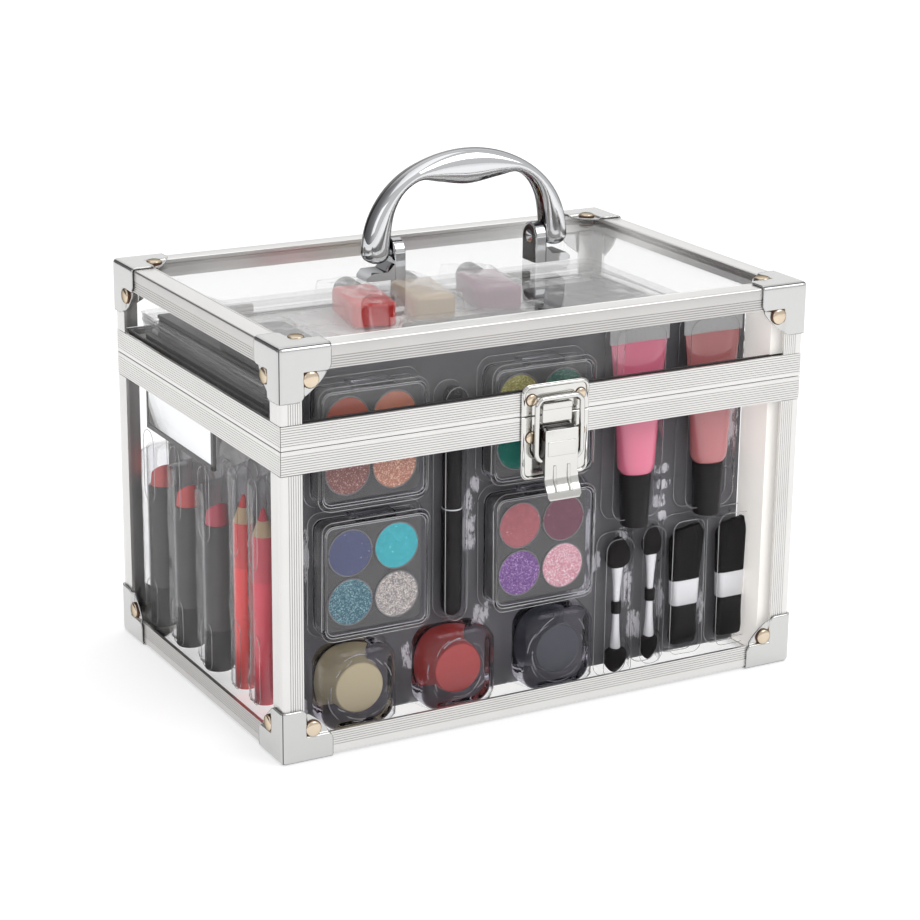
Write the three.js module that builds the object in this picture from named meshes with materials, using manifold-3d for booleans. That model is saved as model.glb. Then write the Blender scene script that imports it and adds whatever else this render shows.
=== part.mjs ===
// A makeup train case: clear panels in ribbed aluminium angle rails, riveted corner guards,
// a hinged lid with a folding handle, a toggle latch and display trays with their cosmetics.
// Millimetres, +Z up, +X to the right, the latch facing -Y. The case stands on z = 0.

import * as THREE from 'three';
import { mergeVertices } from 'three/addons/utils/BufferGeometryUtils.js';
import Module from 'manifold-3d';

const wasm = await Module();
wasm.setup();

// ---------------------------------------------------------------- driving dimensions
const CASE_WIDTH = 240;
const CASE_DEPTH = 166;
const CASE_HEIGHT = 168;
const SPLIT_HEIGHT = 127.5;
const GAP = 0.3;

const GUARD_SHEET = 0.7;
const GUARD_LEG = 22;
const GUARD_ARM = 8.5;
const RIVET_INSET = 13.6;
const RIVET_RADIUS = 3.25;
const RIVET_HEIGHT = 1.1;

const RAIL_LEG = 9.5;
const RAIL_WALL = 1.3;
const RAIL_ROUND = 1;
const BAND_FLANGE = 4;
const POST_LEG = 9;
const GROOVES = 4;
const GROOVE_WIDTH = 0.8;
const GROOVE_DEPTH = 0.3;
const PANEL = 2;
const LINER_WALL = 1;
const LINER_HEIGHT = 2.2;

const HANDLE_CENTRE = { x: 9.5, y: 9 };
const HANDLE_WIDTH = 96.5;
const HANDLE_RISE = 40.4;
const HANDLE_DEPTH = 11;
const HANDLE_ROUND = 3;
const HANDLE_SIDE_ROUND = 2.4;
const HANDLE_LEG = 11.5;
const HANDLE_LEG_END = 4.4;
// The underside of the right half of the grip, as [across, height above the pivot].
const HANDLE_UNDERSIDE = [[35.9, 10.4], [34.2, 18.2], [30, 24.8], [22.6, 28.8], [14, 27.5], [0, 25.5]];
const HANDLE_PIVOT_RISE = 11;
const HANDLE_PIN_RADIUS = 2;
const HANDLE_PIN_END = 1.5;
const HANDLE_BORE_END = 2.5;
const BRACKET_LENGTH = 17.5;
const BRACKET_DEPTH = 12;
const BRACKET_FOOT = 3.4;
const BRACKET_EAR = 5;
const BRACKET_CLEARANCE = 0.5;

const LATCH_WIDTH = 30.7;
const LATCH_SHEET = 0.8;
const LATCH_TOP = 140.3;
const LATCH_BOTTOM = 101.3;
const LATCH_CORNER = 3;
const LATCH_OVERLAP = 0.2;
const KEEPER_WIDTH = 13.6;
const KEEPER_REACH = 2.6;
const KEEPER_LOW = 123.8;
const KEEPER_HIGH = 132.2;
const KEEPER_FOOT_RISE = 0.6;
const LEVER_WIDTH = 15;
const LEVER_TOP = 118.5;
const LEVER_BOTTOM = 103;
const LEVER_REACH = 5.75;
const LEVER_CHEEK = 1.2;
const LEVER_BOSS = 2.2;
const LEVER_PIN_RADIUS = 0.9;
const LEVER_RIB = { offset: 3.2, half: 0.9, reach: 0.45, height: 4.5 };
const BARREL_INSET = 1.5;
const BARREL_WEB = 1.8;
const LEVER_PIVOT = { reach: 3.5, height: 121 };
const BAIL_PIVOT = { reach: 4.2, height: 109.6 };
const BAIL_WIDTH = 22.7;
const BAIL_HEIGHT = 27.5;
const BAIL_BAR = 2.2;
const BAIL_CORNER = 4;
const BAIL_BEVEL = 0.6;
const BAIL_HOLE_RADIUS = 1.5;
const TAB_REACH = 9.8;
const TAB_BOTTOM = 93.8;

const HINGE_OFFSET = 70;
const HINGE_WIDTH = 30;
const HINGE_SHEET = 0.9;
const HINGE_LEAF = 11;
const KNUCKLE_RADIUS = 2.3;
const HINGE_PIN_RADIUS = 0.95;

const CARD = 1.2;
const FRONT_CARD_INSET = 58;
const LEFT_CARD_INSET = 20.5;
const FRONT_CARD = { left: -103.5, right: 110, top: 158 };
const LEFT_CARD = { front: -49, back: 78, top: 118 };
const PALETTE = { half: 23, height: 47, depth: 13, places: [[-74, 98], [-73, 44], [2, 97.5], [3.5, 43.5]] };
const POT = { half: 16, top: 41.5, depth: 15, places: [-81.5, -37, 9.7] };
const TUBE = { half: 13, bottom: 68, top: 154, depth: 13, places: [49.6, 85.6] };
const SLIM_DEPTH = 10;
const APPLICATOR = { half: 4.5, bottom: 6, top: 66, places: [43.2, 59.8] };
const BRUSH = { half: 8, bottom: 9, top: 64, places: [76.9, 100.2] };
const EYELINER = { x: -36, half: 4.5, bottom: 43, top: 138 };
const STICK_TOP = 88;
const CRAYON = { radius: 6.4, places: [66.5, 38.5, 8] };
const PENCIL = { radius: 4.95, places: [-13.5, -33.5] };
const TOP_TRAY = { half: 112, front: -55, back: 75, floor: 137, height: 9, wall: 1.2 };
const MIRROR_PLATE = { front: -9, back: 61, bottom: 98.5, top: 125, inset: 0.5, thickness: 1.5 };

// ---------------------------------------------------------------- worked-out dimensions
const GUARD_PROUD = GUARD_SHEET + GAP;
const RAIL_X = CASE_WIDTH / 2 - GUARD_PROUD;
const RAIL_Y = CASE_DEPTH / 2 - GUARD_PROUD;
const RAIL_TOP = CASE_HEIGHT - GUARD_PROUD;
const RAIL_BOTTOM = GUARD_PROUD;
const BASE_TOP = SPLIT_HEIGHT - GAP / 2;
const LID_BOTTOM = SPLIT_HEIGHT + GAP / 2;
const PANEL_INSET = RAIL_WALL + GAP;
const INNER_X = RAIL_X - PANEL_INSET - PANEL;
const INNER_Y = RAIL_Y - PANEL_INSET - PANEL;
const FLOOR_TOP = RAIL_BOTTOM + PANEL_INSET + PANEL;
const LID_PANEL_TOP = RAIL_TOP - PANEL_INSET;
const HANDLE_PIVOT_HEIGHT = LID_PANEL_TOP + HANDLE_PIVOT_RISE;
const HINGE_AXIS_Y = RAIL_Y + GAP + KNUCKLE_RADIUS + GAP;
const LATCH_REACH = TAB_REACH - GUARD_PROUD;
const HINGE_REACH = HINGE_AXIS_Y + KNUCKLE_RADIUS - CASE_DEPTH / 2;

// ---------------------------------------------------------------- materials
const finish = (color, roughness, metalness, opacity = 1) =>
  new THREE.MeshStandardMaterial({ color, roughness, metalness, opacity, transparent: opacity < 1 });
const ALUMINIUM = finish(0xd9dadc, 0.35, 1);
const GUARD_STEEL = finish(0xd2d3d6, 0.22, 1);
const NICKEL = finish(0xe0dfdc, 0.2, 1);
const CHROME = finish(0xd4d5d7, 0.08, 1);
const ACRYLIC = finish(0xf4f6f8, 0.05, 0, 0.25);
const LINER = finish(0x4a4a4c, 0.6, 0);
const GREY_CARD = finish(0x58575a, 0.7, 0);
const MIRROR = finish(0xeceff2, 0.03, 1);

const QUARTER = Math.PI / 2;
const SIDES = [
  { name: 'front', turn: 0, across: RAIL_X, out: RAIL_Y },
  { name: 'right', turn: QUARTER, across: RAIL_Y, out: RAIL_X },
  { name: 'back', turn: 2 * QUARTER, across: RAIL_X, out: RAIL_Y },
  { name: 'left', turn: 3 * QUARTER, across: RAIL_Y, out: RAIL_X },
];
const CORNERS = [
  { name: 'front_left', x: -1, y: -1, turn: 0 },
  { name: 'front_right', x: 1, y: -1, turn: QUARTER },
  { name: 'back_right', x: 1, y: 1, turn: 2 * QUARTER },
  { name: 'back_left', x: -1, y: 1, turn: 3 * QUARTER },
];

// ---------------------------------------------------------------- solids
function solid(geometry) {
  const bare = geometry.clone();
  bare.deleteAttribute('normal');
  bare.deleteAttribute('uv');
  const merged = mergeVertices(bare, 1e-4);
  return new wasm.Manifold(new wasm.Mesh({
    numProp: 3,
    vertProperties: merged.attributes.position.array,
    triVerts: Uint32Array.from(merged.index.array),
  }));
}

function geometryOf(manifold) {
  const mesh = manifold.getMesh();
  const geometry = new THREE.BufferGeometry();
  geometry.setAttribute('position', new THREE.BufferAttribute(mesh.vertProperties, 3));
  geometry.setIndex(new THREE.BufferAttribute(mesh.triVerts, 1));
  geometry.computeVertexNormals();
  return geometry;
}

function joined(...geometries) {
  return geometryOf(geometries.map(solid).reduce((sum, next) => sum.add(next)));
}

function cut(geometry, ...tools) {
  return geometryOf(tools.map(solid).reduce((rest, tool) => rest.subtract(tool), solid(geometry)));
}

function block(low, high) {
  const size = high.map((value, i) => value - low[i]);
  const middle = high.map((value, i) => (value + low[i]) / 2);
  return new THREE.BoxGeometry(...size).translate(...middle);
}

// A shape drawn in the plane across an axis and drawn out from one place on that axis to another:
// along x it is drawn in (y, z), along y in (x, z), and along z in (x, y).
function drawn(shape, axis, from, to, options = {}) {
  const geometry = new THREE.ExtrudeGeometry(shape, {
    depth: to - from, bevelEnabled: false, curveSegments: 3, ...options,
  });
  if (axis === 'z') return geometry.translate(0, 0, from);
  if (axis === 'y') return geometry.rotateX(QUARTER).translate(0, to, 0);
  return geometry.rotateZ(QUARTER).rotateY(QUARTER).translate(from, 0, 0);
}

function polygon(points) {
  return new THREE.Shape(points.map(([x, y]) => new THREE.Vector2(x, y)));
}

function roundedRectangle(x0, y0, x1, y1, radius, path = new THREE.Shape()) {
  path.moveTo(x0 + radius, y0);
  path.lineTo(x1 - radius, y0);
  path.absarc(x1 - radius, y0 + radius, radius, -QUARTER, 0, false);
  path.lineTo(x1, y1 - radius);
  path.absarc(x1 - radius, y1 - radius, radius, 0, QUARTER, false);
  path.lineTo(x0 + radius, y1);
  path.absarc(x0 + radius, y1 - radius, radius, QUARTER, 2 * QUARTER, false);
  path.lineTo(x0, y0 + radius);
  path.absarc(x0 + radius, y0 + radius, radius, 2 * QUARTER, 3 * QUARTER, false);
  return path;
}

function rodAlongX(radius, x0, x1, y, z, sides = 16) {
  return new THREE.CylinderGeometry(radius, radius, x1 - x0, sides)
    .rotateZ(QUARTER).translate((x0 + x1) / 2, y, z);
}

const trainCase = new THREE.Group();

function add(name, geometry, material) {
  const mesh = new THREE.Mesh(geometry, material);
  mesh.name = name;
  trainCase.add(mesh);
  return mesh;
}

// ---------------------------------------------------------------- rails and posts
// V-shaped grooves along one leg, as [distance along the leg, depth] pairs.
function grooves(start, end) {
  const points = [];
  for (let i = 1; i <= GROOVES; i += 1) {
    const centre = start + ((end - start) * i) / (GROOVES + 1);
    points.push([centre - GROOVE_WIDTH / 2, 0], [centre, GROOVE_DEPTH], [centre + GROOVE_WIDTH / 2, 0]);
  }
  return points;
}

// The angle section with its outer corner at (0, 0): one leg runs along +u and one along +v.
function angleSection(legU, legV, groovedU) {
  const section = new THREE.Shape();
  section.moveTo(0, legV);
  for (const [along, depth] of grooves(RAIL_ROUND, legV).reverse()) section.lineTo(depth, along);
  section.lineTo(0, RAIL_ROUND);
  section.absarc(RAIL_ROUND, RAIL_ROUND, RAIL_ROUND, Math.PI, 3 * QUARTER, false);
  if (groovedU) for (const [along, depth] of grooves(RAIL_ROUND, legU)) section.lineTo(along, depth);
  section.lineTo(legU, 0);
  section.lineTo(legU, RAIL_WALL);
  section.lineTo(RAIL_WALL, RAIL_WALL);
  section.lineTo(RAIL_WALL, legV);
  section.closePath();
  return section;
}

// A rail on the front of the case, mitred at both ends. u runs inward and v away from the corner.
function mitredRail(halfLength, out, cornerHeight, upward, flange) {
  const section = angleSection(flange, RAIL_LEG, flange > BAND_FLANGE);
  const length = 2 * halfLength;
  const rail = new THREE.ExtrudeGeometry(section, { depth: length, bevelEnabled: false, curveSegments: 2 });
  const places = rail.attributes.position;
  for (let i = 0; i < places.count; i += 1) {
    const inset = places.getX(i) + GAP / 2;
    places.setZ(i, places.getZ(i) < halfLength ? inset : length - inset);
  }
  rail.translate(0, 0, -halfLength);
  const inward = new THREE.Vector3(0, 1, 0);
  const rise = new THREE.Vector3(0, 0, upward ? 1 : -1);
  const along = new THREE.Vector3().crossVectors(inward, rise);
  rail.applyMatrix4(new THREE.Matrix4().makeBasis(inward, rise, along));
  return rail.translate(0, -out, cornerHeight);
}

function railFrame(prefix, cornerHeight, upward, flange) {
  for (const side of SIDES) {
    const rail = mitredRail(side.across, side.out, cornerHeight, upward, flange);
    add(`${prefix}_${side.name}`, rail.rotateZ(side.turn), ALUMINIUM);
  }
}

function posts(prefix, bottom, top) {
  for (const corner of CORNERS) {
    const post = drawn(angleSection(POST_LEG, POST_LEG, true), 'z', bottom, top, { curveSegments: 2 });
    post.rotateZ(corner.turn).translate(corner.x * RAIL_X, corner.y * RAIL_Y, 0);
    add(`${prefix}_${corner.name}`, post, ALUMINIUM);
  }
}

// ---------------------------------------------------------------- corner guards
function rivetDome() {
  const radius = (RIVET_RADIUS ** 2 + RIVET_HEIGHT ** 2) / (2 * RIVET_HEIGHT);
  const profile = [new THREE.Vector2(0, -GUARD_SHEET / 2), new THREE.Vector2(RIVET_RADIUS, -GUARD_SHEET / 2)];
  const rings = 3;
  for (let i = 0; i <= rings; i += 1) {
    const across = RIVET_RADIUS * (1 - i / rings);
    profile.push(new THREE.Vector2(across, Math.sqrt(radius ** 2 - across ** 2) - radius + RIVET_HEIGHT));
  }
  return new THREE.LatheGeometry(profile, 12).rotateX(-QUARTER);
}

// One guard for the corner at the origin, with its legs along +X, +Y and +Z.
function guardGeometry(rivetBelow) {
  const outline = polygon([
    [0, 0], [GUARD_LEG, 0], [GUARD_LEG, GUARD_ARM],
    [(GUARD_LEG + GUARD_ARM) / 2 + 1, (GUARD_LEG + GUARD_ARM) / 2 + 1],
    [GUARD_ARM, GUARD_LEG], [0, GUARD_LEG],
  ]);
  const turnToSide = new THREE.Matrix4().set(0, 0, 1, 0, 1, 0, 0, 0, 0, 1, 0, 0, 0, 0, 0, 1);
  const pieces = [];
  for (let face = 0; face < 3; face += 1) {
    const plate = drawn(outline, 'z', 0, GUARD_SHEET);
    const dome = rivetDome().translate(RIVET_INSET, RIVET_INSET, 0);
    const turned = face === 0 && !rivetBelow ? [plate] : [plate, dome];
    for (const piece of turned) {
      for (let i = 0; i < face; i += 1) piece.applyMatrix4(turnToSide);
      pieces.push(piece);
    }
  }
  return joined(...pieces);
}

function guards(prefix, top) {
  for (const corner of CORNERS) {
    const guard = guardGeometry(top);
    if (top) guard.rotateX(Math.PI).rotateZ(QUARTER);
    guard.rotateZ(corner.turn);
    guard.translate((corner.x * CASE_WIDTH) / 2, (corner.y * CASE_DEPTH) / 2, top ? CASE_HEIGHT : 0);
    add(`${prefix}_${corner.name}`, guard, GUARD_STEEL);
  }
}

// ---------------------------------------------------------------- clear panels
function wallPanels(prefix, bottom, top) {
  for (const side of SIDES) {
    const facing = side.name === 'front' || side.name === 'back';
    const half = side.across - PANEL_INSET - (facing ? PANEL + GAP : 0);
    const outer = side.out - PANEL_INSET;
    const panel = block([-half, -outer, bottom], [half, -outer + PANEL, top]);
    add(`${prefix}_${side.name}_panel`, panel.rotateZ(side.turn), ACRYLIC);
  }
}

function flatPanel(name, bottom) {
  const halfX = INNER_X - GAP;
  const halfY = INNER_Y - GAP;
  add(name, block([-halfX, -halfY, bottom], [halfX, halfY, bottom + PANEL]), ACRYLIC);
}

// A thin strip that runs round the inside of the lid's panels, behind the top of the band.
function lidLiner() {
  const halfX = INNER_X - GAP;
  const halfY = INNER_Y - GAP;
  const ring = polygon([[-halfX, -halfY], [halfX, -halfY], [halfX, halfY], [-halfX, halfY]]);
  const inX = halfX - LINER_WALL;
  const inY = halfY - LINER_WALL;
  ring.holes.push(polygon([[-inX, -inY], [-inX, inY], [inX, inY], [inX, -inY]]));
  const low = LID_BOTTOM + RAIL_LEG - LINER_HEIGHT;
  return drawn(ring, 'z', low, low + LINER_HEIGHT);
}

// ---------------------------------------------------------------- handle
function handleGrip() {
  const half = HANDLE_WIDTH / 2;
  const legCentre = half - HANDLE_LEG / 2;
  const legInner = half - HANDLE_LEG;
  const pivot = HANDLE_PIVOT_HEIGHT;
  const outline = new THREE.Shape();
  const legEnd = (centre) => {
    outline.absellipse(centre, pivot, HANDLE_LEG / 2, HANDLE_LEG_END, Math.PI, 2 * Math.PI, false, 0);
  };
  outline.moveTo(half, pivot);
  outline.absellipse(0, pivot, half, HANDLE_RISE, 0, Math.PI, false, 0);
  legEnd(-legCentre);
  const underside = [[legInner, 0], ...HANDLE_UNDERSIDE];
  const rightHalf = underside.slice(0, -1).reverse();
  const inner = [...underside.map(([x, z]) => [-x, z]), ...rightHalf];
  const innerCurve = new THREE.SplineCurve(inner.map(([x, z]) => new THREE.Vector2(x, pivot + z)));
  for (const point of innerCurve.getPoints(28).slice(1)) outline.lineTo(point.x, point.y);
  legEnd(legCentre);
  const halfFlat = HANDLE_DEPTH / 2 - HANDLE_ROUND;
  const grip = drawn(outline, 'y', -halfFlat, halfFlat, {
    bevelEnabled: true, bevelThickness: HANDLE_ROUND, bevelSize: HANDLE_SIDE_ROUND,
    bevelOffset: -HANDLE_SIDE_ROUND, bevelSegments: 2, curveSegments: 10,
  });
  const bore = HANDLE_PIN_RADIUS + GAP;
  const boreEnd = legCentre + HANDLE_BORE_END;
  return cut(
    grip,
    rodAlongX(bore, legInner - HANDLE_BORE_END, boreEnd, 0, pivot),
    rodAlongX(bore, -boreEnd, -legInner + HANDLE_BORE_END, 0, pivot),
  ).translate(HANDLE_CENTRE.x, HANDLE_CENTRE.y, 0);
}

function handleBracket(side) {
  const legInner = HANDLE_WIDTH / 2 - HANDLE_LEG;
  const earOuter = legInner - BRACKET_CLEARANCE;
  const earInner = earOuter - BRACKET_EAR;
  const low = LID_PANEL_TOP + GAP;
  const halfDepth = BRACKET_DEPTH / 2;
  const outline = roundedRectangle(earInner, -halfDepth, earInner + BRACKET_LENGTH, halfDepth, 1);
  const foot = drawn(outline, 'z', low, low + BRACKET_FOOT);
  const earShape = new THREE.Shape();
  earShape.moveTo(-halfDepth, low);
  earShape.lineTo(halfDepth, low);
  earShape.lineTo(halfDepth, HANDLE_PIVOT_HEIGHT);
  earShape.absarc(0, HANDLE_PIVOT_HEIGHT, halfDepth, 0, Math.PI, false);
  earShape.closePath();
  const ear = drawn(earShape, 'x', earInner, earOuter);
  const pinEnd = HANDLE_WIDTH / 2 - HANDLE_LEG / 2 + HANDLE_PIN_END;
  const pin = rodAlongX(HANDLE_PIN_RADIUS, earOuter - 1, pinEnd, 0, HANDLE_PIVOT_HEIGHT);
  const bracket = joined(foot, ear, pin);
  if (side < 0) bracket.rotateZ(Math.PI);
  return bracket.translate(HANDLE_CENTRE.x, HANDLE_CENTRE.y, 0);
}

// ---------------------------------------------------------------- latch
// Reach is measured outward from the front faces of the rails.
const latchY = (reach) => -RAIL_Y - reach;

function latchSheet(shape, reach, thickness) {
  return drawn(shape, 'y', latchY(reach + thickness), latchY(reach));
}

function latchKeeper() {
  const half = LATCH_WIDTH / 2;
  const plate = latchSheet(
    roundedRectangle(-half, LID_BOTTOM, half, LATCH_TOP, LATCH_CORNER), GAP, LATCH_SHEET,
  );
  const blockHalf = KEEPER_WIDTH / 2;
  const hook = latchSheet(
    roundedRectangle(-blockHalf, KEEPER_LOW, blockHalf, KEEPER_HIGH, 0.8), GAP + LATCH_SHEET + GAP,
    KEEPER_REACH - LATCH_SHEET - 2 * GAP,
  );
  const foot = block(
    [-blockHalf + 1, latchY(KEEPER_REACH - LATCH_OVERLAP), SPLIT_HEIGHT + KEEPER_FOOT_RISE],
    [blockHalf - 1, latchY(GAP + LATCH_OVERLAP), KEEPER_HIGH - 0.8],
  );
  return joined(plate, hook, foot);
}

function latchPlate() {
  const half = LATCH_WIDTH / 2;
  const plate = latchSheet(
    roundedRectangle(-half, LATCH_BOTTOM, half, BASE_TOP, LATCH_CORNER), GAP, LATCH_SHEET,
  );
  const barrelHalf = LEVER_WIDTH / 2 - BARREL_INSET;
  const { reach, height } = LEVER_PIVOT;
  const barrel = rodAlongX(KNUCKLE_RADIUS, -barrelHalf, barrelHalf, latchY(reach), height);
  const web = block(
    [-barrelHalf, latchY(reach), height - BARREL_WEB],
    [barrelHalf, latchY(GAP + LATCH_OVERLAP), height + BARREL_WEB],
  );
  const pinHalf = LEVER_WIDTH / 2 - 0.1;
  const pin = rodAlongX(LEVER_PIN_RADIUS, -pinHalf, pinHalf, latchY(reach), height, 12);
  return joined(plate, barrel, web, pin);
}

function latchLever() {
  const half = LEVER_WIDTH / 2;
  const front = LEVER_REACH + LATCH_SHEET;
  const sheet = latchSheet(polygon([
    [-half, LEVER_TOP], [-half, LEVER_BOTTOM], [half, LEVER_BOTTOM], [half, LEVER_TOP],
  ]), LEVER_REACH, LATCH_SHEET);
  const tab = drawn(polygon([
    [latchY(LEVER_REACH), LEVER_BOTTOM + 1], [latchY(LEVER_REACH), LEVER_BOTTOM - 1],
    [latchY(TAB_REACH - 0.7), TAB_BOTTOM], [latchY(TAB_REACH), TAB_BOTTOM + 0.5],
    [latchY(front + 0.2), LEVER_BOTTOM - 0.5], [latchY(front), LEVER_BOTTOM + 1],
  ]), 'x', -half - 0.2, half + 0.2);
  const parts = [sheet, tab];
  const side = new THREE.Shape();
  side.moveTo(latchY(front - LATCH_OVERLAP), LEVER_BOTTOM + 1.5);
  side.lineTo(latchY(front - LATCH_OVERLAP), LEVER_TOP - LATCH_OVERLAP);
  side.lineTo(latchY(LEVER_PIVOT.reach + LEVER_BOSS), LEVER_PIVOT.height);
  side.absarc(latchY(LEVER_PIVOT.reach), LEVER_PIVOT.height, LEVER_BOSS, Math.PI, 0, true);
  side.lineTo(latchY(1.8), BAIL_PIVOT.height - 1);
  side.lineTo(latchY(3.4), BAIL_PIVOT.height - 3);
  side.closePath();
  for (const x of [-half, half - LEVER_CHEEK]) parts.push(drawn(side, 'x', x, x + LEVER_CHEEK));
  for (const x of [-LEVER_RIB.offset, LEVER_RIB.offset]) {
    parts.push(block(
      [x - LEVER_RIB.half, latchY(front + LEVER_RIB.reach), LEVER_BOTTOM],
      [x + LEVER_RIB.half, latchY(front - LATCH_OVERLAP), LEVER_BOTTOM + LEVER_RIB.height],
    ));
  }
  const holes = [[LEVER_PIVOT, LEVER_PIN_RADIUS + GAP], [BAIL_PIVOT, BAIL_HOLE_RADIUS]];
  return cut(joined(...parts), ...holes.map(([pivot, radius]) =>
    rodAlongX(radius, -half - 1, half + 1, latchY(pivot.reach), pivot.height, 16)));
}

function latchBail() {
  const half = BAIL_WIDTH / 2;
  const low = BAIL_PIVOT.height - BAIL_BAR / 2;
  const high = low + BAIL_HEIGHT;
  const ring = roundedRectangle(-half, low, half, high, BAIL_CORNER);
  ring.holes.push(roundedRectangle(
    -half + BAIL_BAR, low + BAIL_BAR, half - BAIL_BAR, high - BAIL_BAR, BAIL_CORNER / 2, new THREE.Path(),
  ));
  const halfFlat = BAIL_BAR / 2 - BAIL_BEVEL;
  return drawn(ring, 'y', latchY(BAIL_PIVOT.reach + halfFlat), latchY(BAIL_PIVOT.reach - halfFlat), {
    bevelEnabled: true, bevelThickness: BAIL_BEVEL, bevelSize: BAIL_BEVEL, bevelOffset: -BAIL_BEVEL,
    bevelSegments: 1,
  });
}

// ---------------------------------------------------------------- hinges
// A leaf lies on the back of its rail; its tabs reach its knuckles on the hinge axis.
function hingeLeaf(centre, upward, knuckles) {
  const half = HINGE_WIDTH / 2;
  const near = KNUCKLE_RADIUS + GAP;
  const sign = upward ? 1 : -1;
  const heights = [SPLIT_HEIGHT + sign * near, SPLIT_HEIGHT + sign * (near + HINGE_LEAF)];
  heights.sort((a, b) => a - b);
  const inner = RAIL_Y + GAP;
  const outline = roundedRectangle(centre - half, heights[0], centre + half, heights[1], 1.5);
  const plate = drawn(outline, 'y', inner, inner + HINGE_SHEET);
  const parts = [plate];
  for (const [from, to] of knuckles) {
    const tabHeights = [SPLIT_HEIGHT, SPLIT_HEIGHT + sign * (near + 1)].sort((a, b) => a - b);
    parts.push(block(
      [centre + from, inner, tabHeights[0]], [centre + to, inner + HINGE_SHEET, tabHeights[1]],
    ));
    parts.push(rodAlongX(KNUCKLE_RADIUS, centre + from, centre + to, HINGE_AXIS_Y, SPLIT_HEIGHT));
  }
  return parts;
}

function hinge(side, centre) {
  const half = HINGE_WIDTH / 2;
  const third = HINGE_WIDTH / 6;
  const baseLeaf = hingeLeaf(centre, false, [[-half, -third], [third, half]]);
  const pin = rodAlongX(
    HINGE_PIN_RADIUS, centre - half + 1, centre + half - 1, HINGE_AXIS_Y, SPLIT_HEIGHT, 12,
  );
  add(`hinge_${side}_base_leaf`, joined(...baseLeaf, pin), NICKEL);
  const lidLeaf = hingeLeaf(centre, true, [[-third + GAP, third - GAP]]);
  const bore = rodAlongX(
    HINGE_PIN_RADIUS + GAP, centre - third, centre + third, HINGE_AXIS_Y, SPLIT_HEIGHT, 16,
  );
  add(`hinge_${side}_lid_leaf`, cut(joined(...lidLeaf), bore), NICKEL);
}

// ---------------------------------------------------------------- trays and what they hold
function frontTray() {
  const cardY = -FRONT_CARD_INSET;
  const card = block(
    [FRONT_CARD.left, cardY - CARD, FLOOR_TOP + GAP], [FRONT_CARD.right, cardY, FRONT_CARD.top],
  );
  const held = (x, half, low, high, depth) =>
    block([x - half, cardY - CARD - depth, low], [x + half, cardY - CARD / 2, high]);
  const slim = ({ half, bottom, top, places }) => places.map((x) => held(x, half, bottom, top, SLIM_DEPTH));
  return joined(
    card,
    ...PALETTE.places.map(([x, z]) => held(x, PALETTE.half, z, z + PALETTE.height, PALETTE.depth)),
    ...POT.places.map((x) => held(x, POT.half, FLOOR_TOP + 0.5, POT.top, POT.depth)),
    ...TUBE.places.map((x) => held(x, TUBE.half, TUBE.bottom, TUBE.top, TUBE.depth)),
    ...slim(APPLICATOR),
    ...slim(BRUSH),
    held(EYELINER.x, EYELINER.half, EYELINER.bottom, EYELINER.top, SLIM_DEPTH),
  );
}

function leftTray() {
  const cardX = -RAIL_X + LEFT_CARD_INSET;
  const card = block(
    [cardX, LEFT_CARD.front, FLOOR_TOP + GAP], [cardX + CARD, LEFT_CARD.back, LEFT_CARD.top],
  );
  const sticks = [CRAYON, PENCIL].flatMap(({ radius, places }) => places.map((y) => block(
    [cardX - 2 * radius, y - radius, FLOOR_TOP + 1], [cardX + CARD / 2, y + radius, STICK_TOP],
  )));
  return joined(card, ...sticks);
}

function topTray() {
  const { half, front, back, floor, height, wall } = TOP_TRAY;
  const hollow = block(
    [-half + wall, front + wall, floor + wall], [half - wall, back - wall, floor + height + 1],
  );
  return cut(block([-half, front, floor], [half, back, floor + height]), hollow);
}

function mirror() {
  const { front, back, bottom, top, inset, thickness } = MIRROR_PLATE;
  return block([-INNER_X + inset, front, bottom], [-INNER_X + inset + thickness, back, top]);
}

// ---------------------------------------------------------------- assembly
railFrame('base_bottom_rail', RAIL_BOTTOM, true, RAIL_LEG);
railFrame('base_band', BASE_TOP, false, BAND_FLANGE);
posts('base_post', RAIL_BOTTOM + RAIL_LEG + GAP, BASE_TOP - RAIL_LEG - GAP);
guards('base_guard', false);
wallPanels('base', RAIL_BOTTOM + PANEL_INSET, BASE_TOP - PANEL_INSET);
flatPanel('base_bottom_panel', RAIL_BOTTOM + PANEL_INSET);

railFrame('lid_top_rail', RAIL_TOP, false, RAIL_LEG);
railFrame('lid_band', LID_BOTTOM, true, BAND_FLANGE);
posts('lid_post', LID_BOTTOM + RAIL_LEG + GAP, RAIL_TOP - RAIL_LEG - GAP);
guards('lid_guard', true);
wallPanels('lid', LID_BOTTOM + PANEL_INSET, LID_PANEL_TOP);
flatPanel('lid_top_panel', LID_PANEL_TOP - PANEL);
add('lid_liner', lidLiner(), LINER);

add('handle_grip', handleGrip(), CHROME);
add('handle_bracket_left', handleBracket(-1), CHROME);
add('handle_bracket_right', handleBracket(1), CHROME);

add('latch_keeper', latchKeeper(), NICKEL);
add('latch_plate', latchPlate(), NICKEL);
add('latch_lever', latchLever(), NICKEL);
add('latch_bail', latchBail(), NICKEL);

hinge('left', -HINGE_OFFSET);
hinge('right', HINGE_OFFSET);

add('front_tray', frontTray(), GREY_CARD);
add('left_tray', leftTray(), GREY_CARD);
add('top_tray', topTray(), GREY_CARD);
add('mirror', mirror(), MIRROR);

trainCase.position.y = (LATCH_REACH - HINGE_REACH) / 2;

export default trainCase;
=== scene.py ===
"""A makeup train case: clear panels in ribbed aluminium rails, riveted corner guards, a chrome handle,
a toggle latch and display trays full of cosmetics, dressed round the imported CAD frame.

Shapes are written in millimetres in the case's own axes: x to the right, y to the back, z up, with
the case's centre line at x = y = 0 and its feet on z = 0. place() turns them into the row frame."""

import math
import random
import bpy
from mathutils import Matrix, Vector, noise


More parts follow.
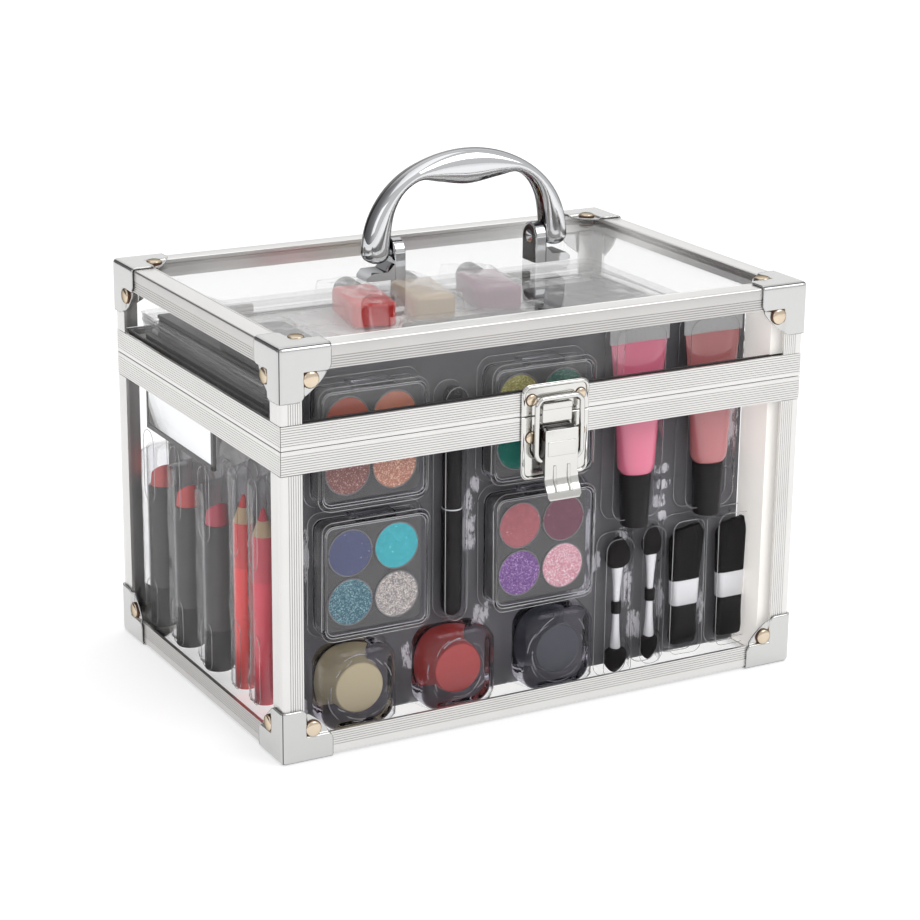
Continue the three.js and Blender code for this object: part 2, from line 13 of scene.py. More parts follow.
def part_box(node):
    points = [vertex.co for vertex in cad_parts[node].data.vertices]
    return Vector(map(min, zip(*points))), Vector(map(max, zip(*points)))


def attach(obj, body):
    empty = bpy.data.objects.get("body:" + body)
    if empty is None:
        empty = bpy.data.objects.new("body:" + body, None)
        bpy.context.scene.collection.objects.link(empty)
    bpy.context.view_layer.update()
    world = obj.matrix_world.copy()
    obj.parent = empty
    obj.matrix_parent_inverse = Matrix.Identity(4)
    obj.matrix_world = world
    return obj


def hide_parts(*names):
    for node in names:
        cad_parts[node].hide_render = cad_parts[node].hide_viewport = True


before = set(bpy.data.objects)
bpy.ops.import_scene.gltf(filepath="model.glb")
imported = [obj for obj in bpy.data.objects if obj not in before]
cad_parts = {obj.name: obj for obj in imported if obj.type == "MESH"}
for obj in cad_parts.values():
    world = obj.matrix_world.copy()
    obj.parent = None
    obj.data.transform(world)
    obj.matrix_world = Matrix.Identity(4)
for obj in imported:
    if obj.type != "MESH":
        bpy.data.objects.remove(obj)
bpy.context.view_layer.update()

MM = 0.001
RAIL_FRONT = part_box("base_bottom_rail_front")[0].y
RAIL_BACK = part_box("base_bottom_rail_back")[1].y
CENTRE_Y = (RAIL_FRONT + RAIL_BACK) / 2
random.seed(11)


def place(point):
    return Vector((point[0] * MM, point[1] * MM + CENTRE_Y, point[2] * MM))


def box(node):
    """A CAD node's lowest and highest corners, in millimetres in the case's axes."""
    low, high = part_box(node)
    shift = Vector((0, CENTRE_Y, 0))
    return (low - shift) / MM, (high - shift) / MM


RAIL_X = box("base_bottom_rail_right")[1].x
RAIL_Y = box("base_bottom_rail_back")[1].y
BASE_TOP = box("base_band_front")[1].z
LID_BOTTOM = box("lid_band_front")[0].z
SPLIT = (BASE_TOP + LID_BOTTOM) / 2
LID_TOP = box("lid_top_rail_front")[1].z
GUARD_PROUD = box("base_bottom_rail_front")[0].z
PIVOT = box("handle_bracket_right")[1].z - 6
TURNS = {"front": 0, "right": 90, "back": 180, "left": 270}
CORNERS = {"front_left": (-1, -1), "front_right": (1, -1), "back_right": (1, 1), "back_left": (-1, 1)}


# ---------------------------------------------------------------- materials
def add(tree, kind, inputs=None, **settings):
    node = tree.nodes.new(kind)
    for name, value in settings.items():
        setattr(node, name, value)
    for name, value in (inputs or {}).items():
        if isinstance(value, bpy.types.NodeSocket):
            tree.links.new(value, node.inputs[name])
        else:
            node.inputs[name].default_value = value
    return node


def blank(name):
    material = bpy.data.materials.new(name)
    material.use_nodes = True
    material.node_tree.nodes.clear()
    return material, material.node_tree


def finish_material(tree, shader):
    add(tree, "ShaderNodeOutputMaterial", {"Surface": shader})


def rgb(red, green, blue):
    """A colour given as it looks on a screen, 0 to 255, as the linear colour that a shader takes."""
    def linear(value):
        value /= 255
        return value / 12.92 if value <= 0.04045 else ((value + 0.055) / 1.055) ** 2.4
    return linear(red), linear(green), linear(blue), 1.0


def shade(colour, factor):
    return tuple(min(1.0, value * factor) for value in colour[:3]) + (1.0,)


def noise_at(tree, scale, stretch=(1, 1, 1), detail=3.0, rough=0.55):
    """Noise in the piece's own coordinates, with scale in features per metre."""
    where = add(tree, "ShaderNodeTexCoord").outputs["Object"]
    mapped = add(tree, "ShaderNodeMapping", {"Vector": where, "Scale": stretch})
    return add(tree, "ShaderNodeTexNoise", {
        "Vector": mapped.outputs["Vector"], "Scale": scale, "Detail": detail, "Roughness": rough,
    }).outputs["Fac"]


def ramp(tree, factor, stops):
    node = add(tree, "ShaderNodeValToRGB", {"Fac": factor})
    elements = node.color_ramp.elements
    while len(elements) < len(stops):
        elements.new(0.5)
    for element, (position, colour) in zip(elements, stops):
        element.position, element.color = position, colour
    return node.outputs["Color"]


def spread(tree, factor, low, high, start=0.3, end=0.7):
    return add(tree, "ShaderNodeMapRange", {
        "Value": factor, "From Min": start, "From Max": end, "To Min": low, "To Max": high,
    }).outputs["Result"]


def bumped(tree, height, strength, distance):
    return add(tree, "ShaderNodeBump", {
        "Height": height, "Strength": strength, "Distance": distance * MM,
    }).outputs["Normal"]


def surface(name, colour, rough, metal=0.0, vary=0.06, grain=300, bump=0.06, depth=0.02,
            stretch=(1, 1, 1), coat=0.0, extra=None):
    """An opaque finish: cloudy colour and roughness, and a fine grain raised from the surface."""
    material, tree = blank(name)
    clouds = noise_at(tree, grain / 6, stretch)
    fine = noise_at(tree, grain * 4, stretch, 4.0)
    inputs = {
        "Base Color": ramp(tree, clouds, [(0.3, shade(colour, 1 - vary)), (0.7, shade(colour, 1 + vary))]),
        "Roughness": spread(tree, fine, max(rough - 0.03, 0.02), rough + 0.03),
        "Metallic": metal,
        "Normal": bumped(tree, fine, bump, depth),
    }
    if coat:
        inputs.update({"Coat Weight": coat, "Coat Roughness": 0.04})
    inputs.update(extra or {})
    finish_material(tree, add(tree, "ShaderNodeBsdfPrincipled", inputs).outputs["BSDF"])
    return material


def powder(name, colour, glitter=0.0, spark=(1, 1, 1, 1)):
    """Pressed powder: a soft matt cake, with bright flakes where it glitters."""
    material, tree = blank(name)
    clouds = noise_at(tree, 350, detail=6.0)
    base = ramp(tree, clouds, [(0.3, shade(colour, 0.9)), (0.7, shade(colour, 1.1))])
    where = add(tree, "ShaderNodeTexCoord").outputs["Object"]
    cells = add(tree, "ShaderNodeTexVoronoi", {"Vector": where, "Scale": 2600.0})
    flake = add(tree, "ShaderNodeSeparateColor", {"Color": cells.outputs["Color"]}).outputs["Red"]
    lit = ramp(tree, flake, [(0.99 - 0.6 * glitter, (0, 0, 0, 1)), (1.0, (1, 1, 1, 1))])
    mixed = add(tree, "ShaderNodeMix", {"Factor": lit, "A": base, "B": spark}, data_type="RGBA")
    shader = add(tree, "ShaderNodeBsdfPrincipled", {
        "Base Color": [s for s in mixed.outputs if s.enabled][0],
        "Roughness": spread(tree, flake, 0.75, 0.75 - 0.35 * glitter, 0.2, 0.9),
        "Normal": bumped(tree, flake if glitter else clouds, 0.4, 0.05),
        "Specular IOR Level": 0.2,
    })
    finish_material(tree, shader.outputs["BSDF"])
    return material


def facing_gloss(tree, normal_bump, floor=0.04, power=5.0, gain=0.96):
    """How much a clear surface mirrors: little head-on, and more towards its edges."""
    facing = add(tree, "ShaderNodeLayerWeight", {"Blend": 0.5, "Normal": normal_bump}).outputs["Facing"]
    raised = add(tree, "ShaderNodeMath", {0: facing, 1: power}, operation="POWER").outputs[0]
    return add(tree, "ShaderNodeMath", {0: raised, 1: gain, 2: floor}, operation="MULTIPLY_ADD").outputs[0]


def clear_sheet(name, tint, gloss, ripple, grain, haze=0.0, power=5.0, floor=0.04):
    """Thin clear plastic: see-through, with a gloss that grows towards grazing views."""
    material, tree = blank(name)
    wave = noise_at(tree, grain, detail=2.0)
    normal = bumped(tree, wave, ripple, 0.4)
    film = add(tree, "ShaderNodeBsdfTransparent", {"Color": tint}).outputs["BSDF"]
    mirror = add(tree, "ShaderNodeBsdfGlossy", {"Roughness": gloss, "Normal": normal}).outputs["BSDF"]
    if haze:
        milk = add(tree, "ShaderNodeBsdfDiffuse", {"Color": (0.9, 0.9, 0.9, 1)}).outputs["BSDF"]
        film = add(tree, "ShaderNodeMixShader", {0: haze, 1: film, 2: milk}).outputs[0]
    mixed = add(tree, "ShaderNodeMixShader", {0: facing_gloss(tree, normal, floor, power), 1: film, 2: mirror})
    finish_material(tree, mixed.outputs[0])
    return material


def clear_solid(name, tint, rough=0.0, ior=1.46):
    """Thick clear plastic that bends light; lamps shine through it."""
    material, tree = blank(name)
    wave = noise_at(tree, 60, detail=1.0)
    glass = add(tree, "ShaderNodeBsdfGlass", {
        "Color": tint, "Roughness": rough, "IOR": ior, "Normal": bumped(tree, wave, 0.15, 0.4),
    }).outputs["BSDF"]
    open_air = add(tree, "ShaderNodeBsdfTransparent", {"Color": tint}).outputs["BSDF"]
    path = add(tree, "ShaderNodeLightPath").outputs
    lit = add(tree, "ShaderNodeMath", {0: path["Is Shadow Ray"], 1: path["Is Diffuse Ray"]}, operation="MAXIMUM")
    finish_material(tree, add(tree, "ShaderNodeMixShader", {0: lit.outputs[0], 1: glass, 2: open_air}).outputs[0])
    return material


def printed_card(name, base, stroke_places):
    """Card printed dark grey, with dry pale brush strokes at the given places, as (u, v, half u, half v)."""
    material, tree = blank(name)
    where = add(tree, "ShaderNodeTexCoord").outputs["Object"]
    split = add(tree, "ShaderNodeSeparateXYZ", {"Vector": where})
    ragged = noise_at(tree, 420, (1, 1, 0.3), 6.0, 0.75)
    total = None
    for u, v, half_u, half_v in stroke_places:
        across = add(tree, "ShaderNodeMath", {0: split.outputs["X"], 1: -u * MM}, operation="ADD").outputs[0]
        up = add(tree, "ShaderNodeMath", {0: split.outputs["Z"], 1: -v * MM}, operation="ADD").outputs[0]
        near = []
        for value, half in ((across, half_u), (up, half_v)):
            scaled = add(tree, "ShaderNodeMath", {0: value, 1: 1 / (half * MM)}, operation="MULTIPLY").outputs[0]
            near.append(add(tree, "ShaderNodeMath", {0: scaled, 1: 4.0}, operation="POWER").outputs[0])
        away = add(tree, "ShaderNodeMath", {0: near[0], 1: near[1]}, operation="ADD").outputs[0]
        inside = spread(tree, away, 1.0, 0.0, 0.0, 1.3)
        total = inside if total is None else add(
            tree, "ShaderNodeMath", {0: total, 1: inside}, operation="MAXIMUM").outputs[0]
    dry = add(tree, "ShaderNodeMath", {0: total, 1: ragged}, operation="MULTIPLY").outputs[0]
    mask = ramp(tree, dry, [(0.4, (0, 0, 0, 1)), (0.48, (1, 1, 1, 1))])
    cloud = noise_at(tree, 40)
    grey = ramp(tree, cloud, [(0.3, shade(base, 0.93)), (0.7, shade(base, 1.07))])
    mixed = add(tree, "ShaderNodeMix", {"Factor": mask, "A": grey, "B": rgb(232, 230, 234)}, data_type="RGBA")
    shader = add(tree, "ShaderNodeBsdfPrincipled", {
        "Base Color": [s for s in mixed.outputs if s.enabled][0],
        "Roughness": spread(tree, cloud, 0.5, 0.62),
        "Specular IOR Level": 0.2,
        "Normal": bumped(tree, noise_at(tree, 1500), 0.2, 0.03),
    })
    finish_material(tree, shader.outputs["BSDF"])
    return material


STROKES = [
    (-26, 79, 5, 18), (-23, 94, 3, 5), (27, 44, 9, 6), (32, 66, 4, 12), (67, 88, 5, 3), (68, 81, 5, 3), (66, 74, 5, 4),
    (68, 67, 4, 3), (100, 106, 6, 22), (-99, 76, 3, 15), (-100, 12, 3, 6), (-19, 38, 5, 7), (48, 62, 4, 4),
    (51, 38, 4, 14), (68, 30, 4, 12), (55, 20, 5, 9), (88, 22, 4, 10), (-52, 26, 5, 8), (35, 52, 4, 6),
]
DARK_RIM = {"Specular Tint": (0.15, 0.15, 0.15, 1)}
DULL = {"Specular IOR Level": 0.12}
ALUMINIUM = surface("Ribbed aluminium", rgb(224, 223, 221), 0.32, 1.0, 0.02, 240, 0.03, 0.01)
# The same aluminium made darker, for the outer sides of the top rails and the side bottom rails: painted shade.
RAIL_SIDE_SHADE = surface("Ribbed aluminium, lid sides", rgb(202, 200, 198), 0.32, 1.0, 0.02, 240, 0.03, 0.01)
RIB_SHADE = surface("Rib grooves", rgb(170, 169, 169), 0.45, 1.0, 0.04, 240, 0.03, 0.01)
STEEL = surface("Guard steel", rgb(203, 203, 202), 0.24, 1.0, 0.02, 160, 0.03, 0.01)
# Dark strip along the guards' rounded bends: painted shade.
GUARD_EDGE_SHADE = surface("Guard edge, painted shade", rgb(84, 83, 84), 0.3, 1.0, 0.06, 160, 0.03, 0.01)
NICKEL = surface("Bright nickel", rgb(214, 213, 210), 0.12, 1.0, 0.02, 200, 0.02, 0.01, extra=DARK_RIM)
CHROME = surface("Chrome", rgb(216, 217, 219), 0.05, 1.0, 0.02, 60, 0.02, 0.01, extra=DARK_RIM)
DARK_CHROME = surface("Chrome in shade", rgb(84, 82, 81), 0.14, 1.0, 0.08, 90, 0.1, 0.02)
RIVET = surface("Copper rivet", rgb(218, 202, 180), 0.2, 1.0, 0.06, 500, 0.05, 0.02, extra=DARK_RIM)
# Dark ring round the foot of each rivet's dome: painted shade.
RIVET_FOOT_SHADE = surface("Rivet foot, painted shade", rgb(92, 66, 52), 0.4, 0.8, 0.1, 500)
# Dark grey for the strip in the lid panel's rail groove, which is painted shade, and for the mirror's rim.
GAP_SHADE_AND_MIRROR_RIM = surface("Dark lid liner", rgb(74, 72, 72), 0.45, 0.0, 0.1, 300, 0.2)
ACRYLIC = clear_sheet("Clear acrylic", (0.99, 0.99, 0.99, 1), 0.02, 0.02, 12, power=7.0, floor=0.002)
ROOF = clear_sheet("Clear acrylic roof", (0.97, 0.97, 0.97, 1), 0.012, 0.02, 12, power=5.6, floor=0.004)
FILM = clear_sheet("Blister film", (0.99, 0.99, 0.995, 1), 0.05, 0.12, 90, power=5.0, floor=0.001)
HAZY = clear_sheet("Hazy film", (0.99, 0.99, 0.99, 1), 0.08, 0.4, 90, haze=0.035, power=3.6, floor=0.004)
CREASED = clear_sheet("Creased film", (0.985, 0.985, 0.985, 1), 0.08, 0.5, 120, haze=0.002, power=8.0, floor=0.004)
TRAY_CLEAR = clear_sheet("Clear tray wall", (0.93, 0.93, 0.93, 1), 0.08, 0.2, 90, haze=0.05, power=4.5, floor=0.01)
LID_CLEAR = clear_solid("Palette lid", (0.98, 0.98, 0.99, 1), 0.0, 1.25)
POT_CLEAR = clear_solid("Pot block", (0.82, 0.81, 0.84, 1), 0.0, 1.42)
SLEEVE = clear_sheet("Crayon sleeve", (0.95, 0.95, 0.955, 1), 0.05, 0.05, 90, haze=0.004, power=4.6, floor=0.004)
GREY_CARD = printed_card("Grey card", rgb(116, 115, 118), STROKES)
CREAM_CARD = surface("Cream card", rgb(232, 228, 222), 0.6, 0.0, 0.03, 200, 0.2)
# Thin milky lines laid on lid rims, blister folds and pots: painted highlights.
PAINTED_HIGHLIGHT = clear_sheet("Painted highlight line", (0.97, 0.97, 0.985, 1), 0.12, 0.05, 200, haze=0.5, power=1.4, floor=0.12)
# The card return glows a little: painted light, where the wall sits in shade.
RETURN_CARD_GLOW = surface("Card return, painted glow", rgb(228, 224, 218), 0.6, 0.0, 0.04, 200, 0.2, extra={
    "Emission Color": (1.0, 0.97, 0.94, 1), "Emission Strength": 0.42,
})
SIDE_CARD = surface("Side card", rgb(132, 129, 129), 0.6, 0.0, 0.25, 40, 0.2)
PALETTE_GREY = surface("Palette base", rgb(98, 97, 95), 0.5, 0.0, 0.05, 400, 0.1, extra=DULL)
PAN_RING = surface("Pan ring", rgb(138, 137, 136), 0.4, 0.6, 0.05, 400)
BLACK = surface("Black plastic", rgb(36, 34, 35), 0.35, 0.0, 0.1, 300, 0.05, extra=DULL)
SOFT_BLACK = surface("Pen plastic", rgb(66, 65, 66), 0.4, 0.0, 0.1, 300, 0.05, extra={"Specular IOR Level": 0.3})
SPONGE = surface("Black sponge", rgb(34, 31, 32), 0.9, 0.0, 0.15, 900, 0.2, 0.04, extra=DULL)
HAIR = surface("Black bristle", rgb(26, 24, 24), 0.7, 0.0, 0.6, 2400, 0.15, 0.03, (1, 1, 0.02), extra=DULL)
SILVER = surface("Silvered plastic", rgb(238, 238, 240), 0.3, 0.15, 0.04, 200, 0.1)
CRIMP = clear_sheet("Crimped tube end", (0.93, 0.92, 0.93, 1), 0.2, 0.1, 300, haze=0.78, power=2.0, floor=0.03)
CRAYON = surface("Crayon barrel", rgb(78, 75, 75), 0.4, 0.0, 0.06, 200, 0.05, extra={"Specular IOR Level": 0.3})
WOOD = surface("Pencil wood", rgb(214, 182, 140), 0.6, 0.0, 0.12, 500, 0.3, 0.03, (1, 1, 0.1))
MIRROR = surface("Mirror", rgb(244, 246, 248), 0.03, 1.0, 0.01, 20, 0.02)
TRAY_WHITE = surface("Tray floor", rgb(236, 235, 234), 0.5, 0.0, 0.03, 60)


def glossy(name, colour, coat=0.8, rough=0.3, through=0.0):
    extra = {"Transmission Weight": through} if through else None
    return surface(name, colour, rough, 0.0, 0.05, 120, 0.1, 0.03, coat=coat, extra=extra)


# ---------------------------------------------------------------- shapes, as (points, faces)
def volume(shape):
    points, faces = shape
    total = 0.0
    for face in faces:
        first = points[face[0]]
        for i in range(1, len(face) - 1):
            total += first.dot(points[face[i]].cross(points[face[i + 1]]))
    return total


def flipped(shape):
    return shape[0], [tuple(reversed(face)) for face in shape[1]]


def outward(shape):
    return shape if volume(shape) > 0 else flipped(shape)


def joined(*shapes):
    points, faces = [], []
    for some_points, some_faces in shapes:
        start = len(points)
        points += some_points
        faces += [tuple(i + start for i in face) for face in some_faces]
    return points, faces


def mapped(shape, matrix, offset=(0, 0, 0)):
    offset = Vector(offset)
    return [matrix @ Vector(p) + offset for p in shape[0]], shape[1]


def moved(shape, x=0.0, y=0.0, z=0.0):
    return [Vector(p) + Vector((x, y, z)) for p in shape[0]], shape[1]


def loft(rings, caps=True):
    """A skin over closed rings that all have the same number of points."""
    size = len(rings[0])
    points = [Vector(p) for ring in rings for p in ring]
    faces = []
    for r in range(len(rings) - 1):
        for i in range(size):
            j = (i + 1) % size
            faces.append((r * size + i, r * size + j, (r + 1) * size + j, (r + 1) * size + i))
    if caps:
        faces.append(tuple(reversed(range(size))))
        faces.append(tuple(range((len(rings) - 1) * size, len(rings) * size)))
    return outward((points, faces))


def rounded(half_x, half_y, radius, steps=6):
    """The outline of a rounded rectangle round the origin."""
    outline = []
    for quarter, (sx, sy) in enumerate(((1, 1), (-1, 1), (-1, -1), (1, -1))):
        for i in range(steps + 1):
            angle = math.radians(90 * quarter + 90 * i / steps)
            outline.append((
                sx * (half_x - radius) + radius * math.cos(angle), sy * (half_y - radius) + radius * math.sin(angle),
            ))
    return outline


def block(half_x, half_y, low, high, radius, edge, steps=6, edge_steps=3):
    """A rounded rectangle drawn along z from low to high, with its rims rounded over by edge."""
    rings = []
    for z0, sign in ((low, 1), (high, -1)):
        bend = []
        for i in range(edge_steps + 1):
            angle = math.radians(90 * i / edge_steps)
            inset, rise = edge * (1 - math.sin(angle)), edge * (1 - math.cos(angle))
            ring = rounded(half_x - inset, half_y - inset, max(radius - inset, 0.05), steps)
            bend.append([(x, y, z0 + sign * rise) for x, y in ring])
        rings += bend if sign > 0 else bend[::-1]
    return loft(rings)


def lathe(profile, sides=48, caps=True):
    """A profile of (radius, z) turned round the z axis."""
    rings = []
    for radius, z in profile:
        rings.append([
            (max(radius, 1e-4) * math.cos(2 * math.pi * i / sides), max(radius, 1e-4) * math.sin(2 * math.pi * i / sides), z)
            for i in range(sides)
        ])
    return loft(rings, caps)


def tube(path, radius, sides=16, closed=False):
    """A round bar along a path."""
    rings = []
    count = len(path)
    for i, point in enumerate(path):
        ahead = Vector(path[(i + 1) % count] if closed or i < count - 1 else path[i])
        behind = Vector(path[i - 1] if closed or i else path[i])
        along = (ahead - behind).normalized()
        side = along.cross(Vector((0, 1, 0))).normalized()
        up = side.cross(along)
        rings.append([
            Vector(point) + radius * (math.cos(t) * side + math.sin(t) * up)
            for t in (2 * math.pi * k / sides for k in range(sides))
        ])
    if not closed:
        return loft(rings)
    points, faces = loft(rings + rings[:1], caps=False)
    size = sides * count
    return outward((points[:size], [tuple(i % size for i in face) for face in faces]))


def grid(columns, rows, point):
    """A sheet of quads; point(column, row) gives each of its points."""
    points = [Vector(point(u, v)) for v in rows for u in columns]
    width = len(columns)
    faces = []
    for r in range(len(rows) - 1):
        for c in range(width - 1):
            corner = r * width + c
            faces.append((corner, corner + 1, corner + width + 1, corner + width))
    return points, faces


def steps_between(low, high, size):
    count = max(1, round((high - low) / size))
    return [low + (high - low) * i / count for i in range(count + 1)]


# ---------------------------------------------------------------- pieces
def piece(name, parts, body, stands_for=(), smooth=35, bevel=0.0, wall=0.0, subdivide=0):
    """One Blender object made of (shape, material) pairs, riding on a body of the frame."""
    mesh = bpy.data.meshes.new(name)
    points, faces = joined(*[shape for shape, _ in parts])
    mesh.from_pydata([place(p) for p in points], [], faces)
    wanted = []
    for shape, material in parts:
        wanted += material if isinstance(material, list) else [material] * len(shape[1])
    materials = list(dict.fromkeys(wanted))
    for material in materials:
        mesh.materials.append(material)
    mesh.polygons.foreach_set("material_index", [materials.index(material) for material in wanted])
    mesh.validate()
    weld(mesh)
    mesh.shade_smooth()
    mesh.set_sharp_from_angle(angle=math.radians(smooth))
    thing = bpy.data.objects.new(name, mesh)
    bpy.context.scene.collection.objects.link(thing)
    if wall:
        solid = thing.modifiers.new("Wall", "SOLIDIFY")
        solid.thickness, solid.offset = wall * MM, -1
    if bevel:
        edges = thing.modifiers.new("Edges", "BEVEL")
        edges.width, edges.segments, edges.limit_method = bevel * MM, 2, "ANGLE"
        edges.angle_limit, edges.harden_normals = math.radians(40), True
    if subdivide:
        smoother = thing.modifiers.new("Smoother", "SUBSURF")
        smoother.levels = smoother.render_levels = subdivide
    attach(thing, body)
    if stands_for:
        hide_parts(*stands_for)
    return thing


def weld(mesh):
    import bmesh

    bm = bmesh.new()
    bm.from_mesh(mesh)
    bmesh.ops.remove_doubles(bm, verts=bm.verts, dist=2e-6)
    bmesh.ops.dissolve_degenerate(bm, edges=bm.edges, dist=1e-6)
    bm.to_mesh(mesh)
    bm.free()


def paint(names, material):
    for name in names:
        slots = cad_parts[name].data.materials
        slots.clear()
        slots.append(material)


# ---------------------------------------------------------------- rails and posts
RAIL_WALL = 1.3
RAIL_ROUND = 1.0
RIB_PITCH = 0.98
RIB_GAP = 0.34
RIB_DEPTH = 0.2
BAND_ROUND = 0.15


def ribs(end, count):
    """Fine grooves counted back from the end of a leg, as (distance along the leg, depth) pairs."""
    points = []
    for i in range(count):
        centre = end - 0.75 - RIB_PITCH * (count - 1 - i)
        points += [
            (centre - RIB_GAP / 2, 0), (centre - RIB_GAP / 4, RIB_DEPTH), (centre + RIB_GAP / 4, RIB_DEPTH),
            (centre + RIB_GAP / 2, 0),
        ]
    return points


def rail_section(leg_in, leg_up, ribs_in, ribs_up, bend=RAIL_ROUND):
    section = [(0, leg_up)] + [(depth, along) for along, depth in reversed(ribs(leg_up, ribs_up))]
    for i in range(5):
        angle = math.radians(180 + 22.5 * i)
        section.append((bend * (1 + math.cos(angle)), bend * (1 + math.sin(angle))))
    if ribs_in:
        section += ribs(leg_in, ribs_in)
    return section + [(leg_in, 0), (leg_in, RAIL_WALL), (RAIL_WALL, RAIL_WALL), (RAIL_WALL, leg_up)]


def rib_finish_and_shade(shape, section, shaded=True, outer=None):
    """The finish of each face of a rail lofted from a section: painted shade down in its grooves if asked, and painted
    shade on its outer side if a side material is given.
    """
    size = len(section)
    hollow = [0.01 < u < 0.5 and v > 0.6 or 0.01 < v < 0.5 and u > 0.6 for u, v in section]
    finish = []
    for i in range(size):
        groove = hollow[i] and hollow[(i + 1) % size]
        on_side = max(section[i][0], section[(i + 1) % size][0]) < 0.5
        finish.append(RIB_SHADE if groove and shaded else outer if outer and on_side else ALUMINIUM)
    return finish + [ALUMINIUM] * (len(shape[1]) - size)


def rail(node, section, upward):
    side = node.rsplit("_", 1)[1]
    low, high = box(node)
    turn = Matrix.Rotation(math.radians(TURNS[side]), 3, "Z")
    half, out = (RAIL_X, RAIL_Y) if side in ("front", "back") else (RAIL_Y, RAIL_X)
    corner, rise = (low.z, 1) if upward else (high.z, -1)
    rings = []
    for end in (-1, 1):
        rings.append([(end * (half - u - 0.15), u - out, corner + rise * v) for u, v in section])
    body = "lid" if node.startswith("lid") else "base"
    shape = mapped(loft(rings), turn)
    # the outer sides of these rails get painted shade
    darker = "top_rail" in node or "bottom_rail" in node and side in ("left", "right")
    finish = rib_finish_and_shade(shape, section, side in ("front", "back"), RAIL_SIDE_SHADE if darker else None)
    piece(f"{node}_ribbed", [(shape, finish)], body, [node], smooth=30)


def post(node, corner):
    low, high = box(node)
    sx, sy = corner
    leg = high.x - low.x
    section = rail_section(leg, leg, 6, 6)
    rings = [[(sx * (RAIL_X - u), sy * (RAIL_Y - v), z) for u, v in section] for z in (low.z, high.z)]
    body = "lid" if node.startswith("lid") else "base"
    shape = loft(rings)
    piece(f"{node}_ribbed", [(shape, rib_finish_and_shade(shape, section))], body, [node], smooth=30)


for side in TURNS:
    rail(f"base_bottom_rail_{side}", rail_section(9.5, 9.5, 5, 6), True)
    rail(f"base_band_{side}", rail_section(4.0, 9.5, 0, 8, BAND_ROUND), False)
    rail(f"lid_band_{side}", rail_section(4.0, 9.5, 0, 8, BAND_ROUND), True)
    rail(f"lid_top_rail_{side}", rail_section(9.5, 9.5, 1, 5), False)
for corner_name, corner in CORNERS.items():
    post(f"base_post_{corner_name}", corner)
    post(f"lid_post_{corner_name}", corner)


# ---------------------------------------------------------------- corner guards
GUARD_LEG = 22.0
GUARD_ARM = 8.5
GUARD_ROUND = 2.0
GUARD_SHEET = 0.7
# width of the strip of painted shade along each bend
GUARD_EDGE_STRIP = 0.4
WEB_STEP = (10.3, 11.3)
WEB_DROP = 1.1
RIVET_INSET = 13.6
RIVET_RADIUS = 3.2


def guard_reach(a):
    """How far the guard's outline stands from one edge, at a distance a along the other."""
    if a <= GUARD_ARM:
        return GUARD_LEG
    along = (a - GUARD_ARM) / (GUARD_LEG - GUARD_ARM)
    return GUARD_LEG + GUARD_ARM - a + 2.3 * math.sin(math.pi * along)


def guard_shape():
    near = [0, GUARD_EDGE_STRIP, 0.7, 1.1, 1.5, 2.0, 3.2, 5, 7, 8.5, 9.6, 10.3, 10.55, 10.8, 11.05, 11.3]
    share = [i / 12 for i in range(13)]
    columns = near + [near[-1] + (GUARD_LEG - near[-1]) * t for t in share[1:]]
    shapes, finish = [], []
    for face in range(3):
        def point(a, row):
            reach = guard_reach(a)
            if row < len(near):
                b = min(near[row], reach)
            else:
                b = near[-1] + (reach - near[-1]) * share[row - len(near) + 1] if reach > near[-1] else reach
            flat = [0.0, 0.0, 0.0]
            flat[face % 3], flat[(face + 1) % 3] = a, b
            flat = Vector(flat)
            centre = Vector([max(value, GUARD_ROUND) for value in flat])
            t = min(1.0, max(0.0, (min(a, b) - WEB_STEP[0]) / (WEB_STEP[1] - WEB_STEP[0])))
            drop = WEB_DROP * t * t * (3 - 2 * t)
            return centre + (flat - centre).normalized() * (GUARD_ROUND - drop)
        rows = range(len(near) + len(share) - 1)
        shapes.append(grid(columns, rows, point))
        for row in rows[:-1]:
            # the first row and column, along each bend, get painted shade
            finish += [GUARD_EDGE_SHADE if row == 0 or column == 0 else STEEL for column in range(len(columns) - 1)]
    return joined(*shapes), finish


GUARD, GUARD_FACES_WITH_EDGE_SHADE = guard_shape()


def rivet_shapes(radius, rim_height, dome_height):
    """A rivet standing on z = 0: a dark rim of painted shade round the foot of a bright dome."""
    rim = lathe([(0, -0.2), (radius + 0.3, -0.2), (radius + 0.3, rim_height * 0.5), (radius, rim_height * 0.75), (0, rim_height * 0.75)], 40)
    dome = [(0, 0.1), (radius - 0.15, 0.1), (radius, 0.3), (radius, rim_height)]
    for i in range(1, 9):
        angle = math.radians(90 * i / 8)
        dome.append((radius * math.cos(angle), rim_height + dome_height * math.sin(angle)))
    return rim, lathe(dome, 40)


